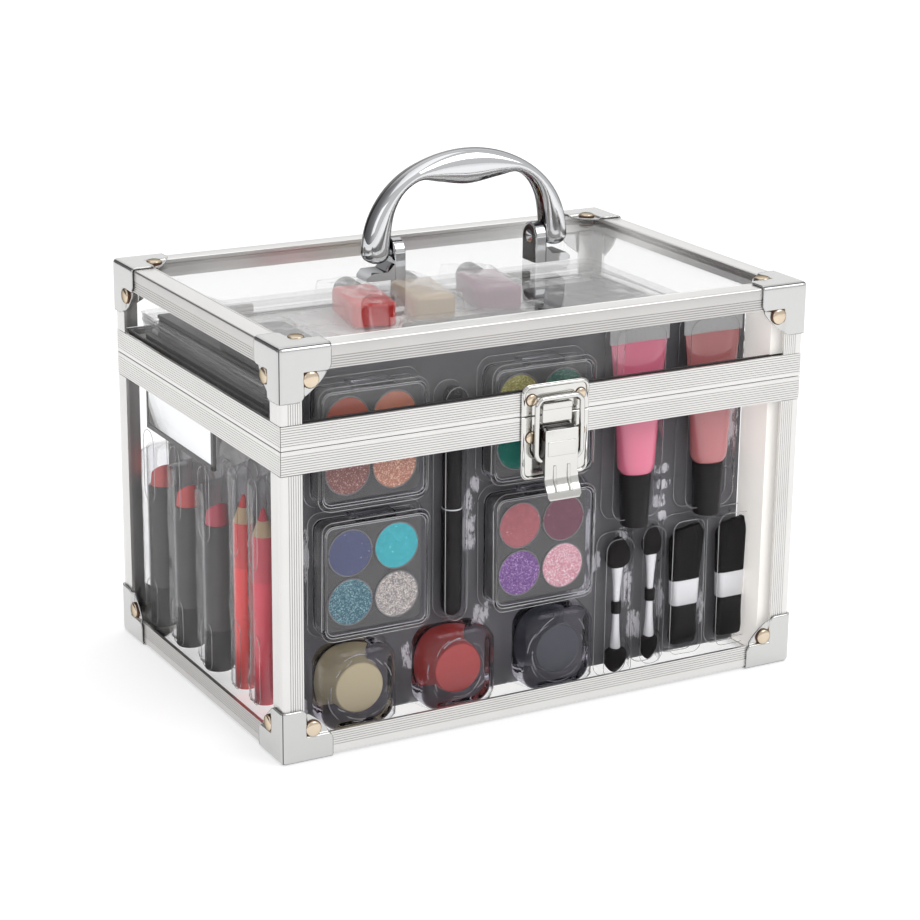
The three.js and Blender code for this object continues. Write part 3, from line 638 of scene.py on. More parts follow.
def guard(node, corner, top):
    sx, sy = corner
    low, high = box(node)
    half_x, half_y, height = RAIL_X + GUARD_PROUD, RAIL_Y + GUARD_PROUD, LID_TOP + GUARD_PROUD
    signs = Matrix.Diagonal((-sx, -sy, -1 if top else 1))
    start = Vector((sx * half_x, sy * half_y, height if top else 0))
    sheet = mapped(GUARD, signs, start)
    a, b, c = (sheet[0][i] for i in sheet[1][200][:3])
    if (b - a).cross(c - a).dot(signs @ Vector((-1, -1, -1))) < 0:
        sheet = flipped(sheet)
    body = "lid" if top else "base"
    piece(f"{node}_pressed", [(sheet, GUARD_FACES_WITH_EDGE_SHADE)], body, [node], smooth=50, wall=GUARD_SHEET)
    parts = []
    for face in range(3):
        if face == 0 and not top:
            continue
        turn = Matrix.Identity(3)
        axes = [Vector((1, 0, 0)), Vector((0, 1, 0)), Vector((0, 0, 1))]
        out = -axes[(face + 2) % 3]
        u, v = axes[face % 3], axes[(face + 1) % 3]
        turn = Matrix((u, v, out)).transposed()
        seat = RIVET_INSET * (u + v) - out * WEB_DROP
        for shape, material in zip(rivet_shapes(RIVET_RADIUS, 1.0, 0.9), (RIVET_FOOT_SHADE, RIVET)):
            parts.append((outward(mapped(mapped(shape, turn, seat), signs, start)), material))
    piece(f"{node}_rivets", parts, body, smooth=40)


for corner_name, corner in CORNERS.items():
    guard(f"base_guard_{corner_name}", corner, False)
    guard(f"lid_guard_{corner_name}", corner, True)

for part_of in ("base", "lid"):
    paint([f"{part_of}_{side}_panel" for side in TURNS], ACRYLIC)
paint(["base_bottom_panel"], ACRYLIC)
paint(["lid_top_panel"], ROOF)
# the lid liner is a dark strip of painted shade, standing for the shadow in the lid panel's rail groove
paint(["lid_liner"], GAP_SHADE_AND_MIRROR_RIM)


# ---------------------------------------------------------------- handle
GRIP_LOW, GRIP_HIGH = box("handle_grip")
GRIP_X, GRIP_Y = (GRIP_LOW.x + GRIP_HIGH.x) / 2, (GRIP_LOW.y + GRIP_HIGH.y) / 2
GRIP_HALF = (GRIP_HIGH.x - GRIP_LOW.x) / 2
GRIP_RISE = GRIP_HIGH.z - PIVOT
GRIP_LEG = 11.5
GRIP_LEG_END = 4.4
GRIP_DEPTH = 5.5
GRIP_SIDES = 32
GRIP_SHADED = (0, 1, 16, 17, 18)
UNDERSIDE = [(GRIP_HALF - GRIP_LEG, 0), (35.9, 10.4), (34.2, 18.2), (30, 24.8), (22.6, 28.8), (14, 27.5), (0, 25.5)]


def smooth_through(points, count):
    """Points spaced along a smooth curve through the given ones."""
    fine = []
    for i in range(len(points) - 1):
        p0, p1, p2, p3 = (Vector(points[min(max(k, 0), len(points) - 1)]) for k in (i - 1, i, i + 1, i + 2))
        for k in range(16):
            t = k / 16
            fine.append(0.5 * (2 * p1 + (p2 - p0) * t + (2 * p0 - 5 * p1 + 4 * p2 - p3) * t * t
                               + (3 * p1 - p0 - 3 * p2 + p3) * t ** 3))
    fine.append(Vector(points[-1]))
    lengths = [0.0]
    for a, b in zip(fine, fine[1:]):
        lengths.append(lengths[-1] + (b - a).length)
    out, at = [], 0
    for i in range(count):
        want = lengths[-1] * i / (count - 1)
        while at < len(fine) - 2 and lengths[at + 1] < want:
            at += 1
        span = lengths[at + 1] - lengths[at]
        out.append(fine[at].lerp(fine[at + 1], (want - lengths[at]) / span if span else 0))
    return out


def grip_section(centre, across, depth, along_x, along_z, sides=GRIP_SIDES):
    ring = []
    for i in range(sides):
        angle = 2 * math.pi * i / sides
        c, s = math.cos(angle), math.sin(angle)
        a = math.copysign(abs(c) ** 0.82, c) * across
        y = math.copysign(abs(s) ** 0.82, s) * depth
        ring.append((centre[0] + a * along_x, y, PIVOT + centre[1] + a * along_z))
    return ring


def handle_grip():
    count = 49
    inner = smooth_through(UNDERSIDE + [(-x, z) for x, z in UNDERSIDE[-2::-1]], count)
    outer = smooth_through([
        (GRIP_HALF * math.cos(math.pi * i / 24), GRIP_RISE * math.sin(math.pi * i / 24)) for i in range(25)
    ], count)
    rings = []
    leg = GRIP_HALF - GRIP_LEG / 2

    def leg_ring(side, angle):
        round_off = math.cos(angle)
        return grip_section((side * leg, GRIP_LEG_END * math.sin(angle)), GRIP_LEG / 2 * round_off,
                            GRIP_DEPTH * round_off ** 0.7, side, 0)

    for i in range(8):
        rings.append(leg_ring(1, math.radians(-88 + 11 * i)))
    for a, b in zip(outer, inner):
        centre, half = (a + b) / 2, (a - b).length / 2
        direction = (a - b).normalized()
        rings.append(grip_section(centre, half, GRIP_DEPTH, direction.x, direction.y))
    for i in range(8):
        rings.append(leg_ring(-1, math.radians(-11 - 11 * i)))
    grip = moved(loft(rings), GRIP_X, GRIP_Y)
    finish = [DARK_CHROME if k % GRIP_SIDES in GRIP_SHADED else CHROME for k in range(len(grip[1]) - 2)]
    piece("handle_grip_cast", [(grip, finish + [CHROME] * 2)], "handle", ["handle_grip"], smooth=60)


def handle_bracket(side, node):
    low, high = box(node)
    foot_low, foot_top = low.z, low.z + 3.4
    reaches = sorted((abs(low.x - GRIP_X), abs(high.x - GRIP_X)))
    edge, end = reaches
    ear = edge + 5.0
    half = (high.y - low.y) / 2

    def ring(x, top, arch, pinch=0.0):
        points = [(x, -half + pinch, foot_low), (x, half - pinch, foot_low)]
        for i in range(17):
            angle = math.pi * i / 16
            rise = half * math.sin(angle) if arch else 0.0
            points.append((x, (half - pinch) * math.cos(angle), top + rise))
        return points

    rings = [
        ring(edge, PIVOT - 0.4, True, 0.4), ring(edge + 0.4, PIVOT, True), ring(ear - 0.4, PIVOT, True),
        ring(ear, PIVOT - 0.4, True, 0.4), ring(ear + 0.02, foot_top + 3.2, False), ring(ear + 3.2, foot_top, False),
        ring(end - 2.6, foot_top, False), ring(end, foot_top - 1.9, False, 1.2),
    ]
    inner_side = [(x, y, z) for x, y, z in ring(edge - 0.01, PIVOT - 0.9, True, 0.9)]
    plate = loft([inner_side, [(edge - 0.3, y * 0.96, z if z < foot_top else z - 0.2) for _, y, z in inner_side]])
    pin = mapped(lathe([(0, 0), (2.0, 0), (2.0, 7.6), (1.7, 7.9), (0, 7.9)], 32),
                 Matrix(((0, 0, 1), (0, 1, 0), (-1, 0, 0))), (ear - 0.2, 0, PIVOT))
    cap = mapped(lathe([(0, 0), (2.9, 0), (2.9, 0.25), (2.3, 0.55), (0, 0.7)], 32),
                 Matrix(((0, 0, -1), (0, 1, 0), (1, 0, 0))), (edge, 0, PIVOT))
    parts = [(loft(rings), CHROME), (outward(pin), CHROME), (outward(plate), DARK_CHROME), (outward(cap), CHROME)]
    flip = Matrix.Diagonal((side, 1, 1))
    parts = [(moved(outward(mapped(shape, flip)), GRIP_X, GRIP_Y), material) for shape, material in parts]
    piece(f"{node}_cast", parts, "lid", [node], smooth=40)


handle_grip()
handle_bracket(-1, "handle_bracket_left")
handle_bracket(1, "handle_bracket_right")


# ---------------------------------------------------------------- latch
# Latch shapes are drawn in (x, z) and stand out from the front rails by their reach.
OUT_FRONT = Matrix(((1, 0, 0), (0, 0, -1), (0, 1, 0)))


def on_front(shape, reach=0.0, x=0.0, z=0.0):
    """A shape drawn in (across, up, out) coordinates, put on the front faces of the rails."""
    return mapped(shape, OUT_FRONT, (x, -RAIL_Y - reach, z))


def latch():
    keeper_low, keeper_high = box("latch_keeper")
    plate_low, plate_high = box("latch_plate")
    half = keeper_high.x
    lid_half = (keeper_high.z - LID_BOTTOM) / 2
    base_half = (BASE_TOP - plate_low.z) / 2
    plates = {}
    for name, centre, tall, upward in (
        ("lid", LID_BOTTOM + lid_half, lid_half, 1), ("base", BASE_TOP - base_half, base_half, -1),
    ):
        outline = []
        for x, y in rounded(half, tall, 3.4, 8):
            if y * upward < 0:
                y = -tall * upward
                x = math.copysign(half, x)
            outline.append((x, y))
        outline = [p for i, p in enumerate(outline) if p != outline[i - 1]]
        slab = loft([
            [(x * (1 - inset / half), y * (1 - inset / tall), w) for x, y in outline]
            for inset, w in ((0, 0.3), (0, 0.9), (0.25, 1.15))
        ])
        rim = []
        for x, y in rounded(half - 0.9, tall - 0.9, 2.8, 8):
            if y * upward > -tall + 3.6:
                rim.append((x, y))
        start = max(range(len(rim)), key=lambda i: math.dist(rim[i], rim[i - 1]))
        rim = rim[start:] + rim[:start]
        first, last = rim[0], rim[-1]
        rim = [(first[0], -tall * upward + 0.1)] + rim + [(last[0], -tall * upward + 0.1)]
        plates[name] = [
            (on_front(slab, 0, 0, centre), NICKEL),
            (on_front(tube([(x, y, 1.05) for x, y in rim], 0.75, 12), 0, 0, centre), NICKEL),
        ]
        for sx in (-1, 1):
            for shape, material in zip(rivet_shapes(2.3, 0.5, 0.7), (RIVET_FOOT_SHADE, RIVET)):
                plates[name].append((on_front(shape, 1.1, sx * 11.2, 134.2 if upward > 0 else 118.8), material))
    keeper = joined(
        on_front(block(6.8, 4.0, 1.0, 2.6, 0.8, 0.35), 0, 0, 128.2),
        on_front(block(6.8, 1.3, 1.0, 2.9, 0.6, 0.3), 0, 0, 130.9),
    )
    piece("latch_keeper_pressed", plates["lid"] + [(keeper, NICKEL)], "lid", ["latch_keeper"], 40)
    barrel = mapped(lathe([(0, -6), (2.2, -6), (2.3, -5.8), (2.3, 5.8), (2.2, 6), (0, 6)], 32),
                    Matrix(((0, 0, 1), (0, 1, 0), (-1, 0, 0))), (0, -RAIL_Y - 3.5, 121))
    web = on_front(block(6.0, 1.7, 0.9, 3.4, 0.4, 0.2), 0, 0, 121)
    pin = mapped(lathe([(0, -7.4), (0.9, -7.4), (0.9, 7.4), (0, 7.4)], 16),
                 Matrix(((0, 0, 1), (0, 1, 0), (-1, 0, 0))), (0, -RAIL_Y - 3.5, 121))
    piece("latch_plate_pressed", plates["base"] + [(s, DARK_CHROME) for s in (outward(barrel), web, outward(pin))],
          "base", ["latch_plate"], 40)

    # the lever: a folded plate with cheeks and a finger tab that curls outward
    face = on_front(block(7.5, 9.6, 5.75, 6.55, 0.5, 0.25), 0, 0, 112.7)
    raised = on_front(block(6.4, 3.0, 6.4, 6.9, 0.5, 0.25), 0, 0, 114.6)
    tab_path = [(6.15, 103.6), (6.2, 102.2), (6.7, 100.6), (7.6, 98.8), (8.6, 97.2), (9.1, 95.6), (9.3, 94.2)]
    tab_rings = []
    for i, (reach, z) in enumerate(tab_path):
        wide = 7.7 - (0.9 if i == len(tab_path) - 1 else 0.0)
        tab_rings.append([
            (x, -RAIL_Y - reach - w, z) for x, w in ((-wide, -0.4), (wide, -0.4), (wide, 0.4), (-wide, 0.4))
        ])
    tab = loft(tab_rings)
    cheeks = []
    cheek = [(6.2, 103.4), (6.4, 118.3), (5.7, 121.2), (4.4, 123.0), (2.7, 123.0), (1.5, 121.8), (1.3, 120), (1.8, 108.8), (3.4, 106.4)]
    for x in (-7.5, 6.3):
        cheeks.append(loft([[(at, -RAIL_Y - reach, z) for reach, z in cheek] for at in (x, x + 1.2)]))
    fingers = []
    for x in (-3.2, 3.2):
        ridge = [(x, -RAIL_Y - reach - 0.55, z) for reach, z in tab_path[:5]]
        fingers.append(tube([(x, -RAIL_Y - 6.5, 107.6), (x, -RAIL_Y - 6.6, 105.2)] + ridge, 0.62, 12))
    parts = [(shape, NICKEL) for shape in [face, raised, tab] + fingers] + [(shape, DARK_CHROME) for shape in cheeks]
    piece("latch_lever_pressed", parts, "latch_lever", ["latch_lever"], 40, bevel=0.12)

    low, high = box("latch_bail")
    wire = 1.1
    middle = (low.z + high.z) / 2
    outline = rounded(high.x - wire, (high.z - low.z) / 2 - wire, 3.4, 10)
    ring = tube([(x, -RAIL_Y - 4.2, middle + z) for x, z in outline], wire, 18, closed=True)
    piece("latch_bail_wire", [(ring, NICKEL)], "latch_bail", ["latch_bail"], 60)


latch()


# ---------------------------------------------------------------- hinges
OUT_BACK = Matrix(((-1, 0, 0), (0, 0, 1), (0, 1, 0)))
KNUCKLE = 2.3
AXIS_Y = box("hinge_left_base_leaf")[1].y - KNUCKLE


def knuckle(x0, x1, radius=KNUCKLE):
    shape = lathe([(0, x0), (radius - 0.2, x0), (radius, x0 + 0.2), (radius, x1 - 0.2), (radius - 0.2, x1), (0, x1)], 32)
    return outward(mapped(shape, Matrix(((0, 0, 1), (0, 1, 0), (-1, 0, 0))), (0, AXIS_Y, SPLIT)))


def hinge(side):
    for half_name, body, sign in (("base", "base", -1), ("lid", "lid", 1)):
        node = f"hinge_{side}_{half_name}_leaf"
        low, high = box(node)
        centre, half = (low.x + high.x) / 2, (high.x - low.x) / 2
        near, far = SPLIT + sign * (KNUCKLE + 0.3), SPLIT + sign * (KNUCKLE + 11.3)
        plate = mapped(block(15, 5.5, 0, 0.9, 1.5, 0.2), OUT_BACK, (-70 if side == "left" else 70, RAIL_Y + 0.3, (near + far) / 2))
        middle = -70 if side == "left" else 70
        parts = [(plate, NICKEL)]
        spans = [(-15, -5), (5, 15)] if sign < 0 else [(-4.7, 4.7)]
        for a, b in spans:
            parts.append((knuckle(middle + a, middle + b), NICKEL))
            tab = block((b - a) / 2, 1.9, 0, 0.9, 0.1, 0.05)
            parts.append((mapped(tab, OUT_BACK, (middle + (a + b) / 2, RAIL_Y + 0.3, SPLIT + sign * 1.7)), NICKEL))
        if sign < 0:
            parts.append((knuckle(middle - 14.9, middle + 14.9, 0.95), NICKEL))
        for x in (-9, 9):
            for shape, material in zip(rivet_shapes(1.9, 0.2, 0.5), (RIVET_FOOT_SHADE, NICKEL)):
                parts.append((mapped(shape, OUT_BACK, (middle + x, RAIL_Y + 1.2, (near + far) / 2 + sign)), material))
        piece(f"{node}_pressed", parts, body, [node], 40)


hinge("left")
hinge("right")


# ---------------------------------------------------------------- trays
# Items are drawn in (across, up, out) from the front of their card, looking at the card.
FRONT_CARD_Y = box("front_tray")[1].y - 1.2
LEFT_CARD_X = box("left_tray")[1].x - 1.2
OUT_LEFT = Matrix(((0, 0, -1), (-1, 0, 0), (0, 1, 0)))


def front(shape, u=0.0, v=0.0, w=0.0):
    return mapped(shape, OUT_FRONT, (u, FRONT_CARD_Y - w, v))


def left(shape, y=0.0, v=0.0, w=0.0):
    return mapped(shape, OUT_LEFT, (LEFT_CARD_X - w, y, v))


STAND = Matrix(((1, 0, 0), (0, 0, 1), (0, -1, 0)))


def upright(shape):
    """Turns a shape lathed round z so that it stands along the card's up direction."""
    return mapped(shape, STAND)


PALETTES = [
    ("sunset", -74, 121.5, [(202, 98, 72, 0), (228, 140, 108, 0), (150, 106, 100, 0.3), (196, 132, 112, 0.7)]),
    ("ocean", -73, 67.5, [(92, 96, 126, 0), (70, 182, 190, 0), (74, 112, 124, 0.6), (150, 142, 140, 1.0)]),
    ("meadow", 2, 121, [(184, 172, 88, 1.0), (70, 122, 106, 0.4), (44, 128, 112, 0), (120, 150, 90, 0.2)]),
    ("rose", 3.5, 67, [(182, 108, 112, 0), (124, 80, 92, 0), (124, 86, 146, 0.4), (220, 150, 162, 0.8)]),
]
PAN_PITCH = 10.2
PAN_RADIUS = 9.5


def palette(name, x, z, colours):
    base = front(block(21.6, 22.2, 2.4, 8.6, 3.5, 0.8), x, z)
    piece(f"palette_{name}_base", [(base, PALETTE_GREY)], "base", smooth=50)
    parts = []
    for i, (red, green, blue, glitter) in enumerate(colours):
        u, v = (-PAN_PITCH, PAN_PITCH)[i % 2], (PAN_PITCH, -PAN_PITCH)[i // 2]
        cake = [(0, 8.3), (PAN_RADIUS, 8.3), (PAN_RADIUS, 8.75)]
        cake += [(PAN_RADIUS * (1 - t / 6) - 0.2, 8.95 + 0.25 * t / 6) for t in range(6)] + [(0, 9.22)]
        material = powder(f"Powder {name} {i + 1}", rgb(red, green, blue), glitter, rgb(
            min(255, red + 90), min(255, green + 90), min(255, blue + 80)))
        parts.append((front(lathe(cake, 48), x + u, z + v), material))
        ring = tube([(PAN_RADIUS * math.cos(t), PAN_RADIUS * math.sin(t), 0) for t in (
            2 * math.pi * k / 64 for k in range(64))], 0.32, 8, closed=True)
        parts.append((front(ring, x + u, z + v, 8.85), PAN_RING))
    piece(f"palette_{name}_pans", parts, "base", smooth=40)
    shell = joined(
        block(23, 23.5, 1.2, 12.6, 4.2, 1.3, 8, 4), flipped(block(21.9, 22.4, 1.9, 11.5, 3.4, 0.7, 8, 4)),
    )
    hinge_bar = block(9, 1.2, 3, 11.8, 0.8, 0.4)
    parts = [(front(shell, x, z), LID_CLEAR), (front(moved(hinge_bar, 0, 24.4), x, z), LID_CLEAR)]
    # thin milky rings on the lid's rims: painted highlights
    for half_u, half_v, corner, w in ((22.6, 23.1, 3.9, 12.3), (22.9, 23.4, 4.1, 1.8), (21.6, 22.1, 3.2, 11.6)):
        line = tube([(u, v, w) for u, v in rounded(half_u, half_v, corner)], 0.17, 8, closed=True)
        parts.append((front(line, x, z), PAINTED_HIGHLIGHT))
    piece(f"palette_{name}_lid", parts, "base", smooth=50)


for entry in PALETTES:
    palette(*entry)

POTS = [("cream", -81.5, (222, 208, 164)), ("berry", -37, (208, 74, 68)), ("coal", 9.7, (72, 76, 84))]
POT_Z = 22.4
for name, x, colour in POTS:
    outer = block(16, 17, 0.4, 15.2, 8.0, 4.2, 10, 6)
    piece(f"pot_{name}_block", [(front(outer, x, POT_Z), POT_CLEAR)], "base", smooth=70)
    filling = glossy(f"Pot {name}", rgb(*colour), 0.3, 0.35)
    cup = lathe([
        (0, 1.2), (10.2, 1.2), (10.9, 2.0), (10.9, 8.2), (10.4, 9.6), (10.4, 12.4), (10.0, 12.8), (0, 13.05),
    ], 64)
    piece(f"pot_{name}_filling", [(front(cup, x, POT_Z), filling)], "base", smooth=40)
    # short milky arcs over the cup: painted glints
    glints = []
    for k in range(14):
        start, sweep = 2 * math.pi * (k + random.random()) / 14, random.uniform(0.2, 0.75)
        reach, drift = random.uniform(11.2, 14.2), random.uniform(-1.2, 1.2)
        path = []
        for i in range(10):
            angle, out = start + sweep * i / 9, reach + drift * i / 9
            path.append((out * math.cos(angle), out * math.sin(angle), 13.9))
        glints.append((front(tube(path, random.uniform(0.12, 0.34), 6), x, POT_Z), PAINTED_HIGHLIGHT))
    piece(f"pot_{name}_glints", glints, "base", smooth=60)


TUBE_PLACES = (49.6, 85.6)
APPLICATORS = ((43.2, -3.0, 6.0), (59.8, 0.0, 4.8))
BRUSHES = ((76.9, 1.0), (100.2, 1.2))


def tube_of_gloss(name, x, colour):
    top, bottom, centre = 147.0, 91.0, 6.6
    rings = []
    for i in range(25):
        t = i / 24
        z = bottom + (top - bottom) * t
        shoulder = min(1.0, 0.82 + 0.18 * math.sin(math.pi / 2 * min(1, t / 0.06)))
        half_u = (8.1 + (13.7 - 8.1) * t ** 1.2) * shoulder
        half_w = (6.4 * (1 - t ** 1.6) + 0.55) * shoulder
        power = 0.9 + 0.1 * (1 - t)
        ring = []
        for k in range(48):
            angle = 2 * math.pi * k / 48
            c, s = math.cos(angle), math.sin(angle)
            ring.append((math.copysign(abs(c) ** power, c) * half_u, z, centre + s * half_w))
        rings.append(ring)
    body = glossy(f"Gloss {name}", rgb(*colour), 1.0, 0.22)
    piece(f"tube_{name}_body", [(front(loft(rings), x), body)], "base", smooth=60)
    ridges = []
    for k in range(2 * 46 + 1):
        u = -14.2 + 28.4 * k / 92
        ridges.append((u, 0.45 + (0.35 if k % 2 else 0.0)))
    outline = [(u, centre + w) for u, w in ridges] + [(14.2, centre - 0.4), (-14.2, centre - 0.4)]
    crimp = loft([[(u, z, w) for u, w in outline] for z in (146.6, 153.6)])
    piece(f"tube_{name}_crimp", [(front(crimp, x), CRIMP)], "base", smooth=20)
    cap = upright(lathe([(0, 68), (5.3, 68), (5.8, 68.6), (6.6, 90.4), (6.4, 91.2), (0, 91.2)]))
    piece(f"tube_{name}_cap", [(front(cap, x, 0, centre), BLACK)], "base", smooth=40)


tube_of_gloss("pink", TUBE_PLACES[0], (240, 122, 152))
tube_of_gloss("rose", TUBE_PLACES[1], (196, 116, 118))


def standing(profile, x, depth, flat=1.0, sides=40):
    shape = upright(lathe(profile, sides))
    return front(mapped(shape, Matrix.Diagonal((1, 1, flat)), (0, 0, depth)), x)


def tip(z0, z1, radius):
    """A pointed sponge tip that runs from its stem at z0 to its point at z1."""
    profile = [(0, z0)]
    for i in range(1, 16):
        t = i / 16
        profile.append((radius * math.sin(math.pi * t ** 0.72) ** 0.62, z0 + (z1 - z0) * t))
    return profile + [(0, z1)]


for number, (x, drop, half) in enumerate(APPLICATORS):
    parts = [
        (standing(tip(52, 66.5, half), x, 5, 0.55), SPONGE),
        (standing([(0, 37), (1.3, 37), (1.7, 44), (2.5, 52.5), (2.3, 53.2), (0, 53.2)], x, 5, 0.8), SILVER),
        (standing([(0, 32.4), (2.1, 32.4), (2.3, 32.8), (2.3, 37.2), (2.1, 37.6), (0, 37.6)], x, 5, 0.9), BLACK),
        (standing([(0, 16), (2.2, 16), (2.4, 16.6), (1.7, 25), (1.4, 33), (0, 33)], x, 5, 0.8), SILVER),
        (standing(tip(17.5, 5.4, half - 0.3), x, 5, 0.55), SPONGE),
    ]
    parts = [(moved(shape, 0, 0, drop), material) for shape, material in parts]
    piece(f"applicator_{number + 1}", parts, "base", smooth=50)


def flat_loft(sections, x, centre, steps=5):
    """A flattened form given as (z, half width, half depth, corner) sections."""
    return front(loft([
        [(u, z, centre + w) for u, w in rounded(half_u, half_w, radius, steps)]
        for z, half_u, half_w, radius in sections
    ]), x)


def bristles(x, lean):
    """A flat brush head: many strands that flare out and end at slightly different heights."""
    count, rows = 120, 14
    rings = []
    strand = [random.uniform(0.75, 1.0) for _ in range(count)]
    for r in range(rows + 1):
        t = r / rows
        ring = []
        for i in range(count):
            angle = 2 * math.pi * i / count
            c, s = math.cos(angle), math.sin(angle)
            half_u = 6.7 + 1.5 * t ** 0.8 - (2.2 * max(0, t - 0.86) / 0.14)
            half_w = 2.6 + 0.6 * t - (1.9 * max(0, t - 0.8) / 0.2)
            u = math.copysign(abs(c) ** 0.45, c) * half_u
            w = math.copysign(abs(s) ** 0.6, s) * half_w * (1 - 0.12 * (1 - strand[i]) * 4 * t)
            top = 62.0 + lean * u * 0.16 + 1.4 * (strand[i] - 0.9)
            ring.append((u + lean * 0.6 * t, 38.6 + (top - 38.6) * t, 5 + w))
        rings.append(ring)
    return front(loft(rings), x)


for number, (x, lean) in enumerate(BRUSHES):
    ferrule = flat_loft([(28, 6.2, 2.6, 2.2), (28.4, 6.5, 2.9, 2.4), (38.6, 6.8, 3.0, 2.4), (39.2, 6.6, 2.8, 2.2)], x, 5)
    handle = flat_loft([
        (10, 5.4, 1.6, 1.4), (10.6, 6.3, 2.1, 1.8), (14, 6.7, 2.4, 2), (20, 6.2, 2.4, 2), (28.3, 6.2, 2.5, 2.1),
    ], x, 5)
    parts = [(bristles(x, lean), HAIR), (ferrule, SILVER), (handle, BLACK)]
    piece(f"brush_{number + 1}", parts, "base", smooth=45)

pen_lower = [(0, 42.6), (1.8, 42.8), (3.4, 44), (4.2, 46.6), (4.3, 50), (4.3, 87.6), (4.1, 88), (0, 88)]
pen_upper = [(0, 88), (3.7, 88), (3.9, 88.4), (3.9, 134), (3.6, 136.6), (2.6, 138), (0, 138.2)]
pen_band = [(0, 87.5), (4.15, 87.5), (4.15, 88.3), (0, 88.3)]
piece("eyeliner_pen", [
    (standing(pen_lower, -36, 5.2), BLACK), (standing(pen_upper, -36, 5.2), BLACK),
    (standing(pen_band, -36, 5.2), SILVER),
], "base", smooth=40)

# the left tray: three crayons in clear sleeves and two pencils in clear caps
CRAYON_AXIS = 6.4
PENCIL_AXIS = 4.95


def stick(profile, y, axis, hollow=False):
    """A turned item standing on the left card at y, with its axis that far from the card."""
    turned = outward(lathe(profile + profile[:1], caps=False)) if hollow else lathe(profile)
    return left(moved(upright(turned), 0, 0, axis), y)


CRAYONS = [("coral", 70.3, (240, 92, 84), 69), ("red", 42, (232, 62, 58), 68), ("crimson", 11.5, (214, 46, 78), 69)]
SLEEVE_RISE = 18.0
for name, y, colour, barrel_top in CRAYONS:
    sleeve_top = barrel_top + SLEEVE_RISE
    at = (y, CRAYON_AXIS)
    wax = glossy(f"Wax {name}", rgb(*colour), 0.4, 0.4)

    slant = []
    for i in range(5):
        t = i / 4
        slant.append([
            (5.0 * math.cos(a) * (1 - 0.1 * t), barrel_top + (6.2 + 3.8 * math.cos(a)) * t, 6.4 + 5.0 * math.sin(a) * (1 - 0.1 * t))
            for a in (2 * math.pi * k / 32 for k in range(32))
        ])
    parts = [
        (stick([(0, 22), (5.8, 22), (5.9, 22.5), (5.9, barrel_top - 0.8), (5.5, barrel_top), (0, barrel_top)], *at), CRAYON),
        (stick([(0, 5.2), (5.8, 5.2), (6.1, 5.7), (6.1, 22.6), (5.9, 23), (0, 23)], *at), BLACK),
        (left(loft(slant), y), wax),
    ]
    piece(f"crayon_{name}", parts, "base", smooth=45)
    wall = [(6.25, 22.4), (6.4, 22.4), (6.4, sleeve_top - 0.8), (5.9, sleeve_top), (0, sleeve_top)]
    wall += [(0, sleeve_top - 0.6), (5.7, sleeve_top - 0.7), (6.15, sleeve_top - 1.2)]
    piece(f"crayon_{name}_sleeve", [(stick(wall, *at, hollow=True), SLEEVE)], "base", smooth=40)

PENCILS = [("scarlet", -12.5, (246, 30, 34)), ("magenta", -31.5, (226, 16, 62))]
for name, y, colour in PENCILS:
    at = (y, PENCIL_AXIS)
    paint_coat = glossy(f"Pencil {name}", rgb(*colour), 0.6, 0.3)
    lead = glossy(f"Lead {name}", shade(rgb(*colour), 0.8), 0.2, 0.5)

    parts = [
        (stick([(0, 5.2), (4.2, 5.2), (4.5, 5.6), (4.5, 77.0), (0, 77.0)], *at), paint_coat),
        (stick([(0, 76.6), (4.48, 76.6), (4.4, 77.2), (2.3, 83.2), (0, 83.2)], *at), WOOD),
        (stick([(0, 83.0), (2.2, 83.0), (0.9, 87.4), (0.3, 88.4), (0, 88.5)], *at), lead),
    ]
    piece(f"pencil_{name}", parts, "base", smooth=40)
    arch = [(4.75, 58), (4.95, 58), (4.95, 88), (4.4, 94), (3.0, 98.6), (1.0, 101), (0, 101.2), (0, 100.9), (0.9, 100.6),
            (2.8, 98.2), (4.2, 93.8), (4.75, 88)]
    piece(f"pencil_{name}_cap", [(stick(arch, *at, hollow=True), SLEEVE)], "base", smooth=40)


# ---------------------------------------------------------------- cards and blister films
def plateau(u, v, item, margin, slope):
    """Height of a moulded bump over an item given as (u, v, half u, half v, depth, corner)."""
    cu, cv, half_u, half_v, depth, corner = item
    du = max(abs(u - cu) - half_u - margin + corner, 0)
    dv = max(abs(v - cv) - half_v - margin + corner, 0)
    away = math.hypot(du, dv) - corner
    t = min(1.0, max(0.0, -away / slope))
    return depth * t * t * (3 - 2 * t)


def relief(items, margin, slope, wobble, seed):
    def height(u, v):
        rise = max(plateau(u, v, item, margin, slope) for item in items)
        ripple = noise.noise(Vector((u * 0.09, v * 0.09, seed))) + 0.5 * noise.noise(Vector((u * 0.25, v * 0.25, seed)))
        return rise + wobble * ripple
    return height


def film(name, item_list, transform, span_u, span_v, pitch, base, margin, slope, wobble, material, seed):
    height = relief(item_list, margin, slope, wobble, seed)
    columns = steps_between(*span_u, pitch)
    rows = steps_between(*span_v, pitch)
    sheet = transform(grid(columns, rows, lambda u, v: (u, v, base + height(u, v))))
    return piece(name, [(sheet, material)], "base", smooth=70, wall=0.25)


